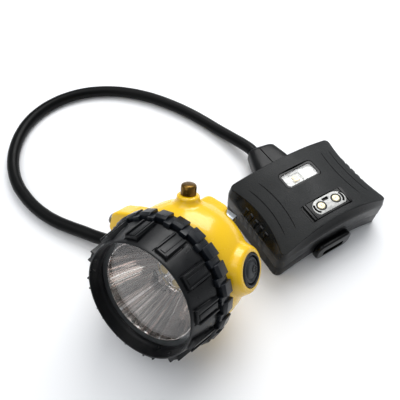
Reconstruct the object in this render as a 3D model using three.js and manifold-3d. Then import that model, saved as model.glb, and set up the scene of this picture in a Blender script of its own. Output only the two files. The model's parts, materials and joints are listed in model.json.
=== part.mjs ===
// A miner's cap lamp: a round headpiece joined by one cable to a curved battery pack.
// Millimetres, +Z up. The origin is on the table under the middle of the lamp and the pack.
// The headpiece lies on the rear edge of its bezel, tilted up; the pack stands on its two ends.
import * as THREE from 'three';
import { mergeVertices } from 'three/addons/utils/BufferGeometryUtils.js';
import Module from 'manifold-3d';

const wasm = await Module();
wasm.setup();

// ---------------------------------------------------------------- driving dimensions
// Headpiece: depths are measured back from the bezel's front lip along the beam axis.
const lampSpot = [-51.4, -52.5, 42.3]; // centre of the front lip
const lampTurn = -35.9; // degrees about Z
const lampTilt = 26.2; // degrees that the beam points up
const lipFront = 1.5; // z of the front lip
const lipRadius = 29.4;
const lipBore = 28.3;
const flangeBore = 27.5; // the shoulder in front of the lens
const flangeDepth = 4.8;
const flangeThick = 0.9;
const coneRadius = 32.5; // where the bezel's cone meets the tooth ring
const coneDepth = 14.6;
const ringDepth = 15.8; // front of the grip teeth
const ringBack = 22.6;
const ringRadius = 34.2;
const toothRadius = 35.5;
const toothCount = 24;
const ribCount = 12;
const ribTurn = -6; // degrees
const toothTurn = 2; // degrees
const lensRadius = 28.6;
const lensThick = 1.6;
const rimRadius = 25.2; // bright rim of the reflector
const bowlRadius = 13.5; // where the bowl ends in the LED dish
const bowlDepth = 30.2;
const dishDepth = 32;
const sideLedCount = 6;
const sideLedRing = 9.8;
const sideLedTurn = 10; // degrees
const neckRadius = 28.5;
const neckFront = 11.2;
const neckBack = 23;
const threadPitch = 3;
const threadHeight = 0.9;
const boreRadius = 30.2; // the bezel's threaded bore
const housingBack = 54;
const leanMost = 6; // how far the drum's centre line leans off the beam axis
const leanTurn = -20; // direction of that lean, degrees from the lamp's top
const bossDepth = 36; // the bosses stand at this depth
const postTurn = 14.8;
const buttonTurn = -58;
const contactTurn = 90;
const buttonRadius = 6.4;
const postRadius = 3.5;
const hookTurn = -4;
const hookWidth = 14;
const hookGap = 4.6;
const steelThick = 1.2;
const gap = 0.3; // air left between pieces that touch

// Battery pack: x along its length, y away from the strap loop, z up from its feet.
const packSpot = [36, 21.9, -0.6];
const packTurn = 31.9; // degrees about Z
const packLength = 75.4;
const packWidth = 54;
const packThick = 23.2;
const archRise = 8.7; // how far the middle stands above the ends
const seamHeight = 9.5;
const wall = 2;
const bevelHeight = 5;
const endInset = 4.5; // how far the top face draws in at the middle of each end
const sideInset = 2.4; // and at the middle of each long side
const windowSize = [24, 12];
const windowSpot = [0, 9.2];
const portSize = [28.4, 11.4];
const portSpot = [0.2, -14.6];
const plateSpot = [1.5, -14.2];
const pinSpacing = 10;
const screwSpot = [29.5, 20]; // pack screws, plus and minus
const loopSize = [24, 4, 12.4];
const slotSize = [14.4, 4.6];
const hoodTip = 49.6; // y of the cable hood's outer face

const cableDiameter = 7.5;
// The cable's centre line from the pack's hood round to the headpiece's gland.
const cableRoute = [
  [8.9, 64.1, 8.8], [7, 66.8, 8.6], [4, 70.2, 8], [0.4, 73.9, 7.2], [-3.8, 78, 6.2], [-8.6, 82.6, 5.2],
  [-13.9, 87.3, 4.4], [-24, 95.8, 3.9], [-34.6, 103.4, 3.9], [-45.6, 110, 3.9], [-56.5, 115.4, 3.9],
  [-67.5, 119.6, 3.9], [-78.5, 122.4, 3.9], [-89.6, 123.8, 3.9], [-100.6, 123.4, 3.9],
  [-111.5, 121.2, 3.9], [-122, 116.8, 3.9], [-131.6, 110.2, 3.9], [-139.4, 101.6, 3.9],
  [-145.2, 91.1, 3.9], [-148.3, 79.1, 3.9], [-148.9, 67.2, 3.9], [-147.6, 56.7, 3.9],
  [-144.5, 46.6, 3.9], [-139.3, 36.5, 3.9], [-133, 28.4, 3.9], [-126.4, 21.7, 3.9], [-118.5, 15.5, 4],
  [-110, 10.4, 4.4], [-101.1, 6.4, 5], [-92.6, 3, 5.6], [-84.8, -0.3, 6.2], [-77.2, -3.5, 7.6],
];

// ---------------------------------------------------------------- finishes
function finish(color, roughness, metalness = 0) {
  return new THREE.MeshStandardMaterial({ color, roughness, metalness });
}
const yellowPlastic = finish(0xf2bf00, 0.28);
const blackPlastic = finish(0x15181c, 0.42);
const shellPlastic = finish(0x2b2e31, 0.55);
const blackRubber = finish(0x1b1e21, 0.75);
const greyRubber = finish(0x5a5f62, 0.8);
const clearPlastic = finish(0xe8f0f2, 0.05);
const chromedPlastic = finish(0xdfe2e4, 0.08, 1);
const agedBrass = finish(0x6f5226, 0.38, 1);
const nickelPlate = finish(0xd8d8d4, 0.25, 1);
const springSteel = finish(0xb5b9bc, 0.3, 1);
const aluminium = finish(0xaeb2b5, 0.4, 1);
const boardGreen = finish(0x1e5a34, 0.5);
const whiteBoard = finish(0xf1f2ee, 0.5);
const phosphor = finish(0xe8d23a, 0.45);
const cellFoil = finish(0xa9adb1, 0.35, 0.6);
const magnetNickel = finish(0xc3c5c6, 0.2, 1);
const redWire = finish(0xb3201c, 0.6);
const blackWire = finish(0x17181a, 0.6);

// ---------------------------------------------------------------- solids
const rad = THREE.MathUtils.degToRad;
const smooth = THREE.MathUtils.smoothstep;

// One closed skin: shared corners merged, flat slivers dropped, faces turned outwards.
function closed(geometry) {
  const bare = geometry.clone();
  for (const name of Object.keys(bare.attributes)) {
    if (name !== 'position') bare.deleteAttribute(name);
  }
  const merged = mergeVertices(bare, 1e-4);
  const points = merged.attributes.position.array;
  const corners = merged.index.array;
  const kept = [];
  let volume = 0;
  const [a, b, c] = [new THREE.Vector3(), new THREE.Vector3(), new THREE.Vector3()];
  for (let i = 0; i < corners.length; i += 3) {
    const [p, q, r] = corners.slice(i, i + 3);
    if (p === q || q === r || r === p) continue;
    kept.push([p, q, r]);
    a.fromArray(points, 3 * p);
    b.fromArray(points, 3 * q);
    c.fromArray(points, 3 * r);
    volume += a.dot(b.cross(c));
  }
  const turned = volume < 0 ? kept.map(([p, q, r]) => [p, r, q]) : kept;
  const result = new THREE.BufferGeometry();
  result.setAttribute('position', new THREE.BufferAttribute(new Float32Array(points), 3));
  result.setIndex(turned.flat());
  return result;
}

function solid(geometry) {
  const skin = closed(geometry);
  return new wasm.Manifold(new wasm.Mesh({
    numProp: 3,
    vertProperties: new Float32Array(skin.attributes.position.array),
    triVerts: new Uint32Array(skin.index.array),
  }));
}

function skinOf(body) {
  const mesh = body.getMesh();
  const geometry = new THREE.BufferGeometry();
  geometry.setAttribute('position', new THREE.BufferAttribute(new Float32Array(mesh.vertProperties), 3));
  geometry.setIndex(Array.from(mesh.triVerts));
  return geometry;
}

// first, plus everything in added, minus everything in removed
function carve(first, added = [], removed = []) {
  let body = solid(first);
  for (const piece of added) body = body.add(solid(piece));
  for (const piece of removed) body = body.subtract(solid(piece));
  return skinOf(body);
}

// A turned shape about Z from [radius, z] pairs that start and end on the axis or close.
function turned(profile, segments = 48) {
  const points = profile.map(([radius, z]) => new THREE.Vector2(radius, z));
  return new THREE.LatheGeometry(points, segments).rotateX(Math.PI / 2);
}

function disc(radius, low, high, segments = 20) {
  return turned([[0, low], [radius, low], [radius, high], [0, high]], segments);
}

function ring(inner, outer, low, high, segments = 48) {
  return turned([[inner, low], [outer, low], [outer, high], [inner, high], [inner, low]], segments);
}

function block(width, depth, height, x = 0, y = 0, z = 0) {
  return new THREE.BoxGeometry(width, depth, height).translate(x, y, z);
}

function roundedRectangle(width, depth, radius) {
  const [w, d] = [width / 2, depth / 2];
  const shape = new THREE.Shape();
  shape.moveTo(-w + radius, -d);
  shape.lineTo(w - radius, -d);
  shape.absarc(w - radius, -d + radius, radius, -Math.PI / 2, 0);
  shape.absarc(w - radius, d - radius, radius, 0, Math.PI / 2);
  shape.absarc(-w + radius, d - radius, radius, Math.PI / 2, Math.PI);
  shape.absarc(-w + radius, -d + radius, radius, Math.PI, 1.5 * Math.PI);
  return shape;
}

// An outline pushed up along Z from low to high.
function slab(shape, low, high, curveSegments = 5) {
  const settings = { depth: high - low, bevelEnabled: false, curveSegments };
  return new THREE.ExtrudeGeometry(shape, settings).translate(0, 0, low);
}

// A round rod or tube along a smooth path through the points.
function rod(points, diameter, sides, steps) {
  const path = new THREE.CatmullRomCurve3(points.map((p) => new THREE.Vector3(...p)), false, 'centripetal');
  const section = new THREE.Shape();
  section.absarc(0, 0, diameter / 2, 0, 2 * Math.PI);
  return new THREE.ExtrudeGeometry(section, { steps, extrudePath: path, curveSegments: sides / 2 });
}

function polygonNut(across, hole, low, high) {
  const hexagon = disc(across / Math.sqrt(3), low, high, 6);
  return carve(hexagon, [], [disc(hole, low - 1, high + 1, 16)]);
}

// Stands a shape made along +Z at a radial place on the headpiece: z becomes the distance
// from the beam axis, and turn is the angle from the lamp's top.
function radial(geometry, turn, depth) {
  return geometry.rotateX(-Math.PI / 2).rotateZ(rad(turn)).translate(0, 0, -depth);
}

// A raised helical thread on a cylinder, with wedge ends that taper into it.
function thread(radius, height, width, from, turns, startTurn) {
  const stepsPerTurn = 24;
  const steps = Math.round(stepsPerTurn * turns);
  const points = [];
  const faces = [];
  const root = -Math.sign(height) * 0.3;
  for (let i = 0; i <= steps; i += 1) {
    const angle = rad(startTurn) - (2 * Math.PI * i) / stepsPerTurn;
    const z = from - (threadPitch * i) / stepsPerTurn;
    const rise = height * Math.min(1, Math.min(i, steps - i) / 4 + 0.05);
    for (const [r, dz] of [[radius + root, -width / 2], [radius + rise, -width / 4],
      [radius + rise, width / 4], [radius + root, width / 2]]) {
      points.push(r * Math.cos(angle), r * Math.sin(angle), z + dz);
    }
    if (i === 0) continue;
    for (let k = 0; k < 4; k += 1) {
      const [a, b] = [4 * (i - 1) + k, 4 * (i - 1) + ((k + 1) % 4)];
      faces.push(a, b, b + 4, a, b + 4, a + 4);
    }
  }
  const end = 4 * steps;
  faces.push(0, 2, 1, 0, 3, 2, end, end + 1, end + 2, end, end + 2, end + 3);
  const geometry = new THREE.BufferGeometry();
  geometry.setAttribute('position', new THREE.Float32BufferAttribute(points, 3));
  geometry.setIndex(faces);
  return geometry;
}

// ---------------------------------------------------------------- assembly
const lamp = new THREE.Group();
const headpiece = new THREE.Group();
headpiece.position.set(...lampSpot);
headpiece.rotation.set(rad(90 - lampTilt), 0, rad(lampTurn), 'ZXY');
const pack = new THREE.Group();
pack.position.set(...packSpot);
pack.rotation.z = rad(packTurn);
lamp.add(headpiece, pack);

function addPiece(parent, name, geometry, material) {
  const mesh = new THREE.Mesh(closed(geometry), material);
  mesh.name = name;
  parent.add(mesh);
}

// ---------------------------------------------------------------- bezel and optics
// Headpiece frame: the beam leaves along +Z, +Y is the lamp's top, and z is minus the depth.
function bezel() {
  const shell = turned([
    [lipBore, lipFront], [lipRadius - 0.4, lipFront], [lipRadius, lipFront - 0.5], [coneRadius, -coneDepth],
    [ringRadius, -coneDepth], [ringRadius, -ringBack + 0.5], [ringRadius - 0.5, -ringBack],
    [boreRadius, -ringBack], [boreRadius, -neckFront + 0.4], [lensRadius + 0.4, -neckFront + 0.8],
    [lensRadius + 0.4, -flangeDepth - flangeThick], [flangeBore, -flangeDepth - flangeThick],
    [flangeBore, -flangeDepth], [lipBore, lipFront],
  ], 48);
  const raised = [];
  for (let i = 0; i < toothCount; i += 1) {
    const tooth = block(6, toothRadius - 31.5, ringBack - ringDepth - 0.3);
    tooth.translate(0, (toothRadius + 31.5) / 2, -(ringBack + ringDepth) / 2);
    raised.push(tooth.rotateZ(rad(toothTurn + (360 / toothCount) * i)));
  }
  const slope = Math.atan2(coneRadius - lipRadius - 0.9, coneDepth);
  for (let i = 0; i < ribCount; i += 1) {
    const rib = block(6.6, 2.6, 13.2).rotateX(slope).translate(0, 31.05, -7.4);
    raised.push(rib.rotateZ(rad(ribTurn + (360 / ribCount) * i)));
  }
  raised.push(thread(boreRadius, -threadHeight, 1.1, -16, 1.4, 180));
  return carve(shell, raised);
}

function reflector() {
  const bowl = [];
  const steps = 5;
  for (let i = 0; i <= steps; i += 1) {
    const t = i / steps;
    const depth = 7.9 + (bowlDepth - 7.9) * t;
    const radius = rimRadius + (bowlRadius - rimRadius) * (0.72 * t + 0.28 * t * t * t);
    bowl.push([radius, -depth]);
  }
  const outside = bowl.slice(1).map(([radius, z]) => [radius + 1.1, z - 0.4]);
  const profile = [
    [0, -dishDepth], [bowlRadius - 0.5, -dishDepth], ...bowl.slice().reverse(),
    [rimRadius + 0.5, -7.9], [rimRadius + 0.5, -9.6], [lensRadius - 0.3, -9.6],
    [lensRadius - 0.3, -neckFront + 0.4], [rimRadius + 0.9, -neckFront + 0.4],
    ...outside.filter(([, z]) => z < -neckFront),
    [bowlRadius + 0.6, -dishDepth - 1.2], [0, -dishDepth - 1.2],
  ];
  const cups = [disc(4.4, -dishDepth - 2, -dishDepth + 1, 20)];
  for (let i = 0; i < sideLedCount; i += 1) {
    const turn = rad(sideLedTurn + (360 / sideLedCount) * i);
    cups.push(disc(2.6, -dishDepth - 2, -dishDepth + 1, 12).translate(0, sideLedRing, 0).rotateZ(turn));
  }
  return carve(turned(profile, 30), [], cups);
}

const lensFront = -flangeDepth - flangeThick - 0.3;
const lensBack = lensFront - lensThick;
addPiece(headpiece, 'bezel', bezel(), blackPlastic);
addPiece(headpiece, 'lens', disc(lensRadius, lensBack, lensFront, 36), clearPlastic);
addPiece(headpiece, 'lens_gasket', ring(rimRadius + 0.8, lensRadius - 0.2, -9.3, lensBack - 0.2, 36), greyRubber);
addPiece(headpiece, 'reflector', reflector(), chromedPlastic);

// ---------------------------------------------------------------- light engine
const boardTop = -dishDepth - 2.4;
function ledChip(size, radius) {
  const base = block(size, size, 0.9, 0, 0, boardTop + 0.75);
  const dome = turned([[0, boardTop + 1], [radius, boardTop + 1], [radius * 0.9, boardTop + 1.6],
    [radius * 0.5, boardTop + 2.1], [0, boardTop + 2.3]], 12);
  return carve(base, [dome]);
}
addPiece(headpiece, 'main_led', ledChip(4.6, 2.1), phosphor);
for (let i = 0; i < sideLedCount; i += 1) {
  const turn = rad(sideLedTurn + (360 / sideLedCount) * i);
  addPiece(headpiece, `side_led_${i + 1}`, ledChip(2.8, 1.3).translate(0, sideLedRing, 0).rotateZ(turn), phosphor);
}
addPiece(headpiece, 'led_board', disc(14.5, boardTop - 1.6, boardTop, 32), whiteBoard);
function heatSink() {
  const base = disc(15.5, boardTop - 4.4, boardTop - 1.9, 32);
  const fins = [-9, -3, 3, 9].map((x) => block(1.6, 22, 4, x, 0, boardTop - 6));
  return carve(base, fins);
}
addPiece(headpiece, 'heat_sink', heatSink(), aluminium);
const driverSpot = -46;
addPiece(headpiece, 'driver_board', block(26, 20, 1.4, 1.5, 3, driverSpot), boardGreen);

// ---------------------------------------------------------------- headpiece housing
// The drum's centre line leans away from the beam axis towards the switch side.
function lean(geometry) {
  const place = geometry.attributes.position;
  for (let i = 0; i < place.count; i += 1) {
    const past = Math.max(0, -place.getZ(i) - neckBack);
    const shift = leanMost * (1 - Math.exp(-past / 12));
    place.setX(i, place.getX(i) - shift * Math.sin(rad(leanTurn)));
    place.setY(i, place.getY(i) + shift * Math.cos(rad(leanTurn)));
  }
  return geometry;
}

function postBoss() {
  return radial(turned([[0, 28], [8, 28], [7.4, 34.4], [6, 36.6], [5.3, 37.6], [5, 38.9], [4.4, 39.1],
    [0, 39.1]], 20), postTurn, bossDepth);
}

function buttonBoss() {
  return radial(turned([[0, 24], [15.5, 24], [14, 30], [12, 34], [11, 36.4], [10.2, 37.3], [0, 37.3]], 28),
    buttonTurn, bossDepth + 1);
}

function contactBoss() {
  const outline = new THREE.Shape([[18, 14], [28.5, 15], [43.5, 7.6], [46.2, 5.2], [46.2, -4.2], [44.4, -6],
    [24, -6], [18, -6]].map(([v, y]) => new THREE.Vector2(-v, y)));
  return new THREE.ExtrudeGeometry(outline, { depth: 10, bevelSize: 1, bevelThickness: 1, bevelSegments: 1,
    bevelOffset: -1 }).translate(0, 0, -bossDepth - 5);
}

// The cable leaves low on the left: glandRoot is on the drum's wall, in the headpiece frame.
const glandRoot = new THREE.Vector3(-27, -13.6, -40);
const glandWay = new THREE.Vector3(-0.937, -0.277, 0.109).normalize();
function alongGland(geometry) {
  const turn = new THREE.Quaternion().setFromUnitVectors(new THREE.Vector3(0, 0, 1), glandWay);
  return geometry.applyQuaternion(turn).translate(...glandRoot.toArray());
}

function housing() {
  const outside = lean(turned([
    [0, -housingBack], [15.5, -housingBack], [19, -53.2], [23.4, -51], [27.2, -48], [30, -44],
    [32.2, -37], [32.8, -30], [32.5, -neckBack - 0.6], [32, -neckBack],
    [neckRadius, -neckBack], [neckRadius, -neckFront], [0, -neckFront],
  ], 36));
  const inside = lean(turned([
    [0, -housingBack + 2.5], [15, -housingBack + 2.5], [21, -49.6], [25, -46.6], [27.8, -42.6],
    [29.6, -37], [29.8, -30], [29, -26.5], [26.4, -24.4], [26.4, -neckFront + 1], [0, -neckFront + 1],
  ], 24));
  const lobe = slab(roundedRectangle(13, 8.6, 3), 26, 34.2);
  const added = [
    postBoss(), buttonBoss(), contactBoss(), radial(lobe, 0, 46.5),
    alongGland(disc(7.4, -6, 4.2, 28)),
    thread(neckRadius, threadHeight, 1.1, -13, 2.2, 0),
  ];
  const removed = [
    inside,
    radial(disc(2.6, 20, 45, 16), postTurn, bossDepth),
    radial(disc(8.5, 33.4, 40, 32), buttonTurn, bossDepth + 1),
    radial(disc(2.6, 20, 40, 16), buttonTurn, bossDepth + 1),
    radial(disc(2.4, 20, 50, 16), contactTurn, bossDepth - 2),
    alongGland(disc(4.6, -14, 6, 20)),
  ];
  for (const side of [-1, 1]) {
    removed.push(radialBack(disc(1.6, -housingBack - 1, -housingBack + 4, 12), side));
  }
  return carve(outside, added, removed);
}

// The two hook screws sit side by side on the drum's back.
const hookAcross = 5;
function radialBack(geometry, side) {
  return geometry.translate(side * hookAcross, 17, 0).rotateZ(rad(hookTurn));
}

addPiece(headpiece, 'lamp_housing', housing(), yellowPlastic);
addPiece(headpiece, 'neck_seal', new THREE.TorusGeometry(29.35, 0.5, 6, 32).translate(0, 0, -21.6), blackRubber);

// ---------------------------------------------------------------- switch
const buttonDepth = bossDepth + 1;
function collar() {
  return turned([[6.8, 33.7], [8.2, 33.7], [8.2, 37.4], [7.8, 37.9], [7.2, 37.9], [6.8, 37.5], [6.8, 33.7]], 28);
}
function button() {
  const cap = turned([[0, 34.7], [buttonRadius, 34.7], [buttonRadius, 37], [buttonRadius - 0.6, 37.7],
    [buttonRadius - 1.6, 37.8], [buttonRadius - 2, 37.4], [3, 37.6], [0, 37.8]], 24);
  return cap;
}
addPiece(headpiece, 'button_collar', radial(collar(), buttonTurn, buttonDepth), blackRubber);
addPiece(headpiece, 'switch_button', radial(button(), buttonTurn, buttonDepth), blackRubber);
addPiece(headpiece, 'button_plunger', radial(disc(2, 29.4, 34.4, 16), buttonTurn, buttonDepth), blackPlastic);
addPiece(headpiece, 'micro_switch', radial(block(7, 7, 4, 0, 0, 26.2), buttonTurn, buttonDepth), blackPlastic);

// ---------------------------------------------------------------- charging contacts and hook
function chargePost() {
  return turned([[0, 26], [2.2, 26], [2.2, 39.4], [postRadius, 39.4], [postRadius, 43.9], [postRadius - 0.5, 44.5],
    [1.6, 44.8], [0, 44.8]], 20);
}
addPiece(headpiece, 'charge_post', radial(chargePost(), postTurn, bossDepth), agedBrass);
addPiece(headpiece, 'post_nut', radial(polygonNut(7, 2.5, 28.6, 31.4), postTurn, bossDepth), agedBrass);
function sideContact() {
  return turned([[0, 21], [2, 21], [2, 46.5], [3.3, 46.5], [3.3, 47.4], [2.4, 48.1], [0, 48.4]], 20);
}
addPiece(headpiece, 'side_contact', radial(sideContact(), contactTurn, bossDepth - 2), nickelPlate);
addPiece(headpiece, 'side_contact_nut', radial(polygonNut(6, 2.3, 22.5, 25), contactTurn, bossDepth - 2), nickelPlate);

function rearHook() {
  const [near, far] = [housingBack + gap, housingBack + gap + steelThick + hookGap];
  const [top, inner] = [26.6, 26.6 - steelThick];
  const side = new THREE.Shape();
  side.moveTo(near, 8);
  side.lineTo(near + steelThick, 8);
  side.lineTo(near + steelThick, inner - 1.6);
  side.absarc(near + steelThick + 1.6, inner - 1.6, 1.6, Math.PI, Math.PI / 2, true);
  side.absarc(far - 1.6, inner - 1.6, 1.6, Math.PI / 2, 0, true);
  side.lineTo(far, 1.5);
  side.lineTo(far + 1.5, -1.5);
  side.lineTo(far + 1.5 + steelThick, -1);
  side.lineTo(far + steelThick, 2);
  side.lineTo(far + steelThick, top - 2.8);
  side.absarc(far + steelThick - 2.8, top - 2.8, 2.8, 0, Math.PI / 2);
  side.absarc(near + 2.8, top - 2.8, 2.8, Math.PI / 2, Math.PI);
  side.closePath();
  const strip = slab(side, -hookWidth / 2, hookWidth / 2, 4);
  strip.rotateY(Math.PI / 2).rotateZ(rad(hookTurn));
  const holes = [-1, 1].map((s) => radialBack(disc(1.9, -housingBack - 3, -housingBack + 1, 12), s));
  return carve(strip, [], holes);
}
function hookScrew(side) {
  const head = [[0, -housingBack - 3.3], [2.8, -housingBack - 3.3], [3, -housingBack - 2.7],
    [3, -housingBack - 1.8], [1.3, -housingBack - 1.8], [1.3, -housingBack + 5], [0, -housingBack + 5]];
  return radialBack(turned(head, 16), side);
}
addPiece(headpiece, 'rear_hook', rearHook(), springSteel);
addPiece(headpiece, 'hook_screw_1', hookScrew(-1), springSteel);
addPiece(headpiece, 'hook_screw_2', hookScrew(1), springSteel);

// ---------------------------------------------------------------- headpiece gland and wires
function headGland() {
  const nut = disc(6.4, 4.5, 10.5, 12);
  const boot = turned([[0, 9], [5.6, 9], [5.3, 12], [4.4, 22.6], [4, 23.4], [0, 23.4]], 24);
  return alongGland(carve(nut, [boot, disc(4.2, -3.6, 5, 20)]));
}
addPiece(headpiece, 'head_gland', headGland(), blackRubber);
addPiece(headpiece, 'head_wire_red', rod([[-21, -10, -42], [-17, -7.4, -43.6], [-14, -3, -44.4],
  [-12.8, 1, -44.6]], 1.4, 8, 8), redWire);
addPiece(headpiece, 'head_wire_black', rod([[-20, -14, -42], [-14, -13.4, -44.4], [-8, -10.6, -45.6],
  [-4, -8, -46]], 1.4, 8, 8), blackWire);

// ---------------------------------------------------------------- battery pack
const [halfLength, halfWidth] = [packLength / 2, packWidth / 2];
const arch = (x) => archRise * Math.max(0, 1 - (x / halfLength) ** 2);
const footFlat = 1.2; // width of the level strip under each end

// A block of the pack's outline between two heights, drawn in by a margin, then arched.
// u and v run from -1 to 1 across the outline; the top draws in where topInset is 1.
function packBlock(low, high, margin, topInset, cornerRadius = 4) {
  const geometry = new THREE.BoxGeometry(2, 2, 2, 12, 6, topInset ? 3 : 1);
  const place = geometry.attributes.position;
  const [w, d] = [halfLength - margin, halfWidth - margin];
  for (let i = 0; i < place.count; i += 1) {
    const [u, v, t] = [place.getX(i), place.getY(i), (place.getZ(i) + 1) / 2];
    let [x, y] = [w * Math.sin((u * Math.PI) / 2.6) / Math.sin(Math.PI / 2.6), d * v];
    const [cx, cy] = [w - cornerRadius, d - cornerRadius];
    const [ox, oy] = [Math.max(0, Math.abs(x) - cx), Math.max(0, Math.abs(y) - cy)];
    const reach = Math.hypot(ox, oy);
    if (reach > cornerRadius) {
      x = Math.sign(x) * (cx + (ox / reach) * cornerRadius);
      y = Math.sign(y) * (cy + (oy / reach) * cornerRadius);
    }
    let z = low + (high - low) * t;
    if (topInset) {
      const rows = [0, 0.6, 0.86, 1];
      z = low + (high - low) * rows[Math.round(t * 3)];
      const drawIn = smooth(z, high - bevelHeight - 0.6, high) * topInset;
      x -= x * (endInset / halfLength) * (1 - v * v) * drawIn + Math.sign(x) * 0.5 * drawIn;
      y -= y * (sideInset / halfWidth) * (1 - u * u) * drawIn + Math.sign(y) * 0.5 * drawIn;
    }
    place.setXYZ(i, x, y, z + arch(x));
  }
  return geometry;
}

const windowBase = packThick + archRise - 2.6;
const portTop = packThick + archRise - 0.2;
function upperShell() {
  const outside = packBlock(seamHeight + gap / 2, packThick, 0, 1);
  const inside = packBlock(seamHeight - 3, packThick - wall, wall + 0.3, 0.6, 3.4);
  const bosses = [];
  const bores = [];
  for (const sx of [-1, 1]) {
    for (const sy of [-1, 1]) {
      const [x, y] = [sx * screwSpot[0], sy * screwSpot[1]];
      bosses.push(disc(2.5, seamHeight + 2.2, packThick + arch(x) - 1, 16).translate(x, y, 0));
      bores.push(disc(1.5, 0, seamHeight + 9, 12).translate(x, y, 0));
    }
  }
  let body = solid(outside).subtract(solid(inside));
  for (const boss of bosses) body = body.add(solid(boss));
  const holes = [
    ...bores,
    slab(roundedRectangle(windowSize[0], windowSize[1], 1.4), 15, 40).translate(...windowSpot, 0),
    slab(roundedRectangle(portSize[0], portSize[1], 1.6), 15, 40).translate(...portSpot, 0),
  ];
  for (const hole of holes) body = body.subtract(solid(hole));
  return skinOf(body);
}

function lowerShell() {
  const outside = packBlock(0, seamHeight - gap / 2, 0.2, 0);
  const inside = packBlock(wall, seamHeight + 3, wall + 0.3, 0, 3.4);
  const holes = [];
  for (const sx of [-1, 1]) {
    for (const sy of [-1, 1]) {
      const [x, y] = [sx * screwSpot[0], sy * screwSpot[1]];
      holes.push(disc(1.7, -1, 12, 12).translate(x, y, 0));
      holes.push(disc(3.2, -1, arch(x) + 1, 16).translate(x, y, 0));
    }
  }
  const level = block(footFlat * 4, packWidth + 2, 4);
  const feet = [-1, 1].map((s) => level.clone().translate(s * (halfLength - footFlat * 2), 0, -2 + 0.6));
  let body = solid(outside).subtract(solid(inside));
  for (const hole of holes) body = body.subtract(solid(hole));
  for (const foot of feet) body = body.subtract(solid(foot));
  return skinOf(body);
}

function shellSeal() {
  const outside = solid(packBlock(seamHeight - 0.7, seamHeight + 0.7, wall + 0.7, 0, 3));
  return skinOf(outside.subtract(solid(packBlock(seamHeight - 3, seamHeight + 3, wall + 1.4, 0, 2.4))));
}

addPiece(pack, 'upper_shell', upperShell(), shellPlastic);
addPiece(pack, 'lower_shell', lowerShell(), shellPlastic);
addPiece(pack, 'shell_seal', shellSeal(), blackRubber);
for (const [i, x] of [-12.6, 12.6].entries()) {
  addPiece(pack, `cell_${i + 1}`, slab(roundedRectangle(24, 40, 2), 12, 20.4).translate(x, 0, 0), cellFoil);
}
addPiece(pack, 'protection_board', block(38, 7, 1.4, 0, 0, 21.6), boardGreen);

function packScrew(x, y) {
  const base = arch(x) - 0.8;
  return turned([[0, base], [2.7, base], [2.7, base + 1.4], [1.2, base + 1.4], [1.2, base + 12], [0, base + 12]], 16)
    .translate(x, y, 0);
}
let screwNumber = 0;
for (const sx of [-1, 1]) {
  for (const sy of [-1, 1]) {
    screwNumber += 1;
    addPiece(pack, `pack_screw_${screwNumber}`, packScrew(sx * screwSpot[0], sy * screwSpot[1]), springSteel);
  }
}

// ---------------------------------------------------------------- indicator and charging port
const [paneWidth, paneDepth] = windowSize.map((size) => size - 2 * gap);
addPiece(pack, 'window_pane', slab(roundedRectangle(paneWidth, paneDepth, 1.2), windowBase, windowBase + 1.8)
  .translate(...windowSpot, 0), clearPlastic);
addPiece(pack, 'indicator_board', block(paneWidth - 1, paneDepth - 1, 1.2, ...windowSpot, windowBase - 2.6), whiteBoard);
addPiece(pack, 'indicator_led', block(3.4, 2.8, 1, windowSpot[0] - 3, windowSpot[1], windowBase - 1.2), phosphor);

const plateShape = new THREE.Shape();
plateShape.moveTo(-9.2, -4.6);
plateShape.lineTo(9.2, -4.6);
plateShape.quadraticCurveTo(11.4, 0.6, 6.6, 4.6);
plateShape.lineTo(-6.6, 4.6);
plateShape.quadraticCurveTo(-11.4, 0.6, -9.2, -4.6);
function contactBlock() {
  const body = slab(roundedRectangle(portSize[0] - 2 * gap, portSize[1] - 2 * gap, 1.3), portTop - 6, portTop)
    .translate(...portSpot, 0);
  const seat = slab(plateShape, portTop - 1.4, portTop + 2).scale(1.04, 1.08, 1).translate(...plateSpot, 0);
  const bores = pinPlaces().map((x) => disc(1.7, portTop - 9, portTop, 16).translate(x, plateSpot[1], 0));
  const ridge = block(2.4, portSize[1] + 2, 3, portSpot[0] - 12.2, portSpot[1], portTop + 0.7);
  return carve(body, [], [seat, ...bores, ridge]);
}
function pinPlaces() {
  return [-1, 1].map((side) => plateSpot[0] + (side * pinSpacing) / 2);
}
function contactPlate() {
  const plate = slab(plateShape, portTop - 1.1, portTop + 0.1).translate(...plateSpot, 0);
  return carve(plate, [], pinPlaces().map((x) => disc(3, portTop - 3, portTop + 2, 24).translate(x, plateSpot[1], 0)));
}
addPiece(pack, 'contact_block', contactBlock(), blackPlastic);
addPiece(pack, 'contact_plate', contactPlate(), nickelPlate);
for (const [i, x] of pinPlaces().entries()) {
  const pin = turned([[0, portTop - 8], [1.4, portTop - 8], [1.4, portTop - 1.1], [2.1, portTop - 1.1],
    [2.1, portTop], [1.8, portTop + 0.2], [0, portTop + 0.2]], 20);
  const sleeve = ring(2.3, 2.8, portTop - 1.1, portTop + 0.1, 24);
  addPiece(pack, `contact_pin_${i + 1}`, pin.translate(x, plateSpot[1], 0), nickelPlate);
  addPiece(pack, `pin_sleeve_${i + 1}`, sleeve.translate(x, plateSpot[1], 0), blackPlastic);
  const magnetSpot = plateSpot[0] + (i ? 9.4 : -9.4);
  addPiece(pack, `port_magnet_${i + 1}`, disc(2, portTop - 8.6, portTop - 6.3, 16)
    .translate(magnetSpot, plateSpot[1], 0), magnetNickel);
}

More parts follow.
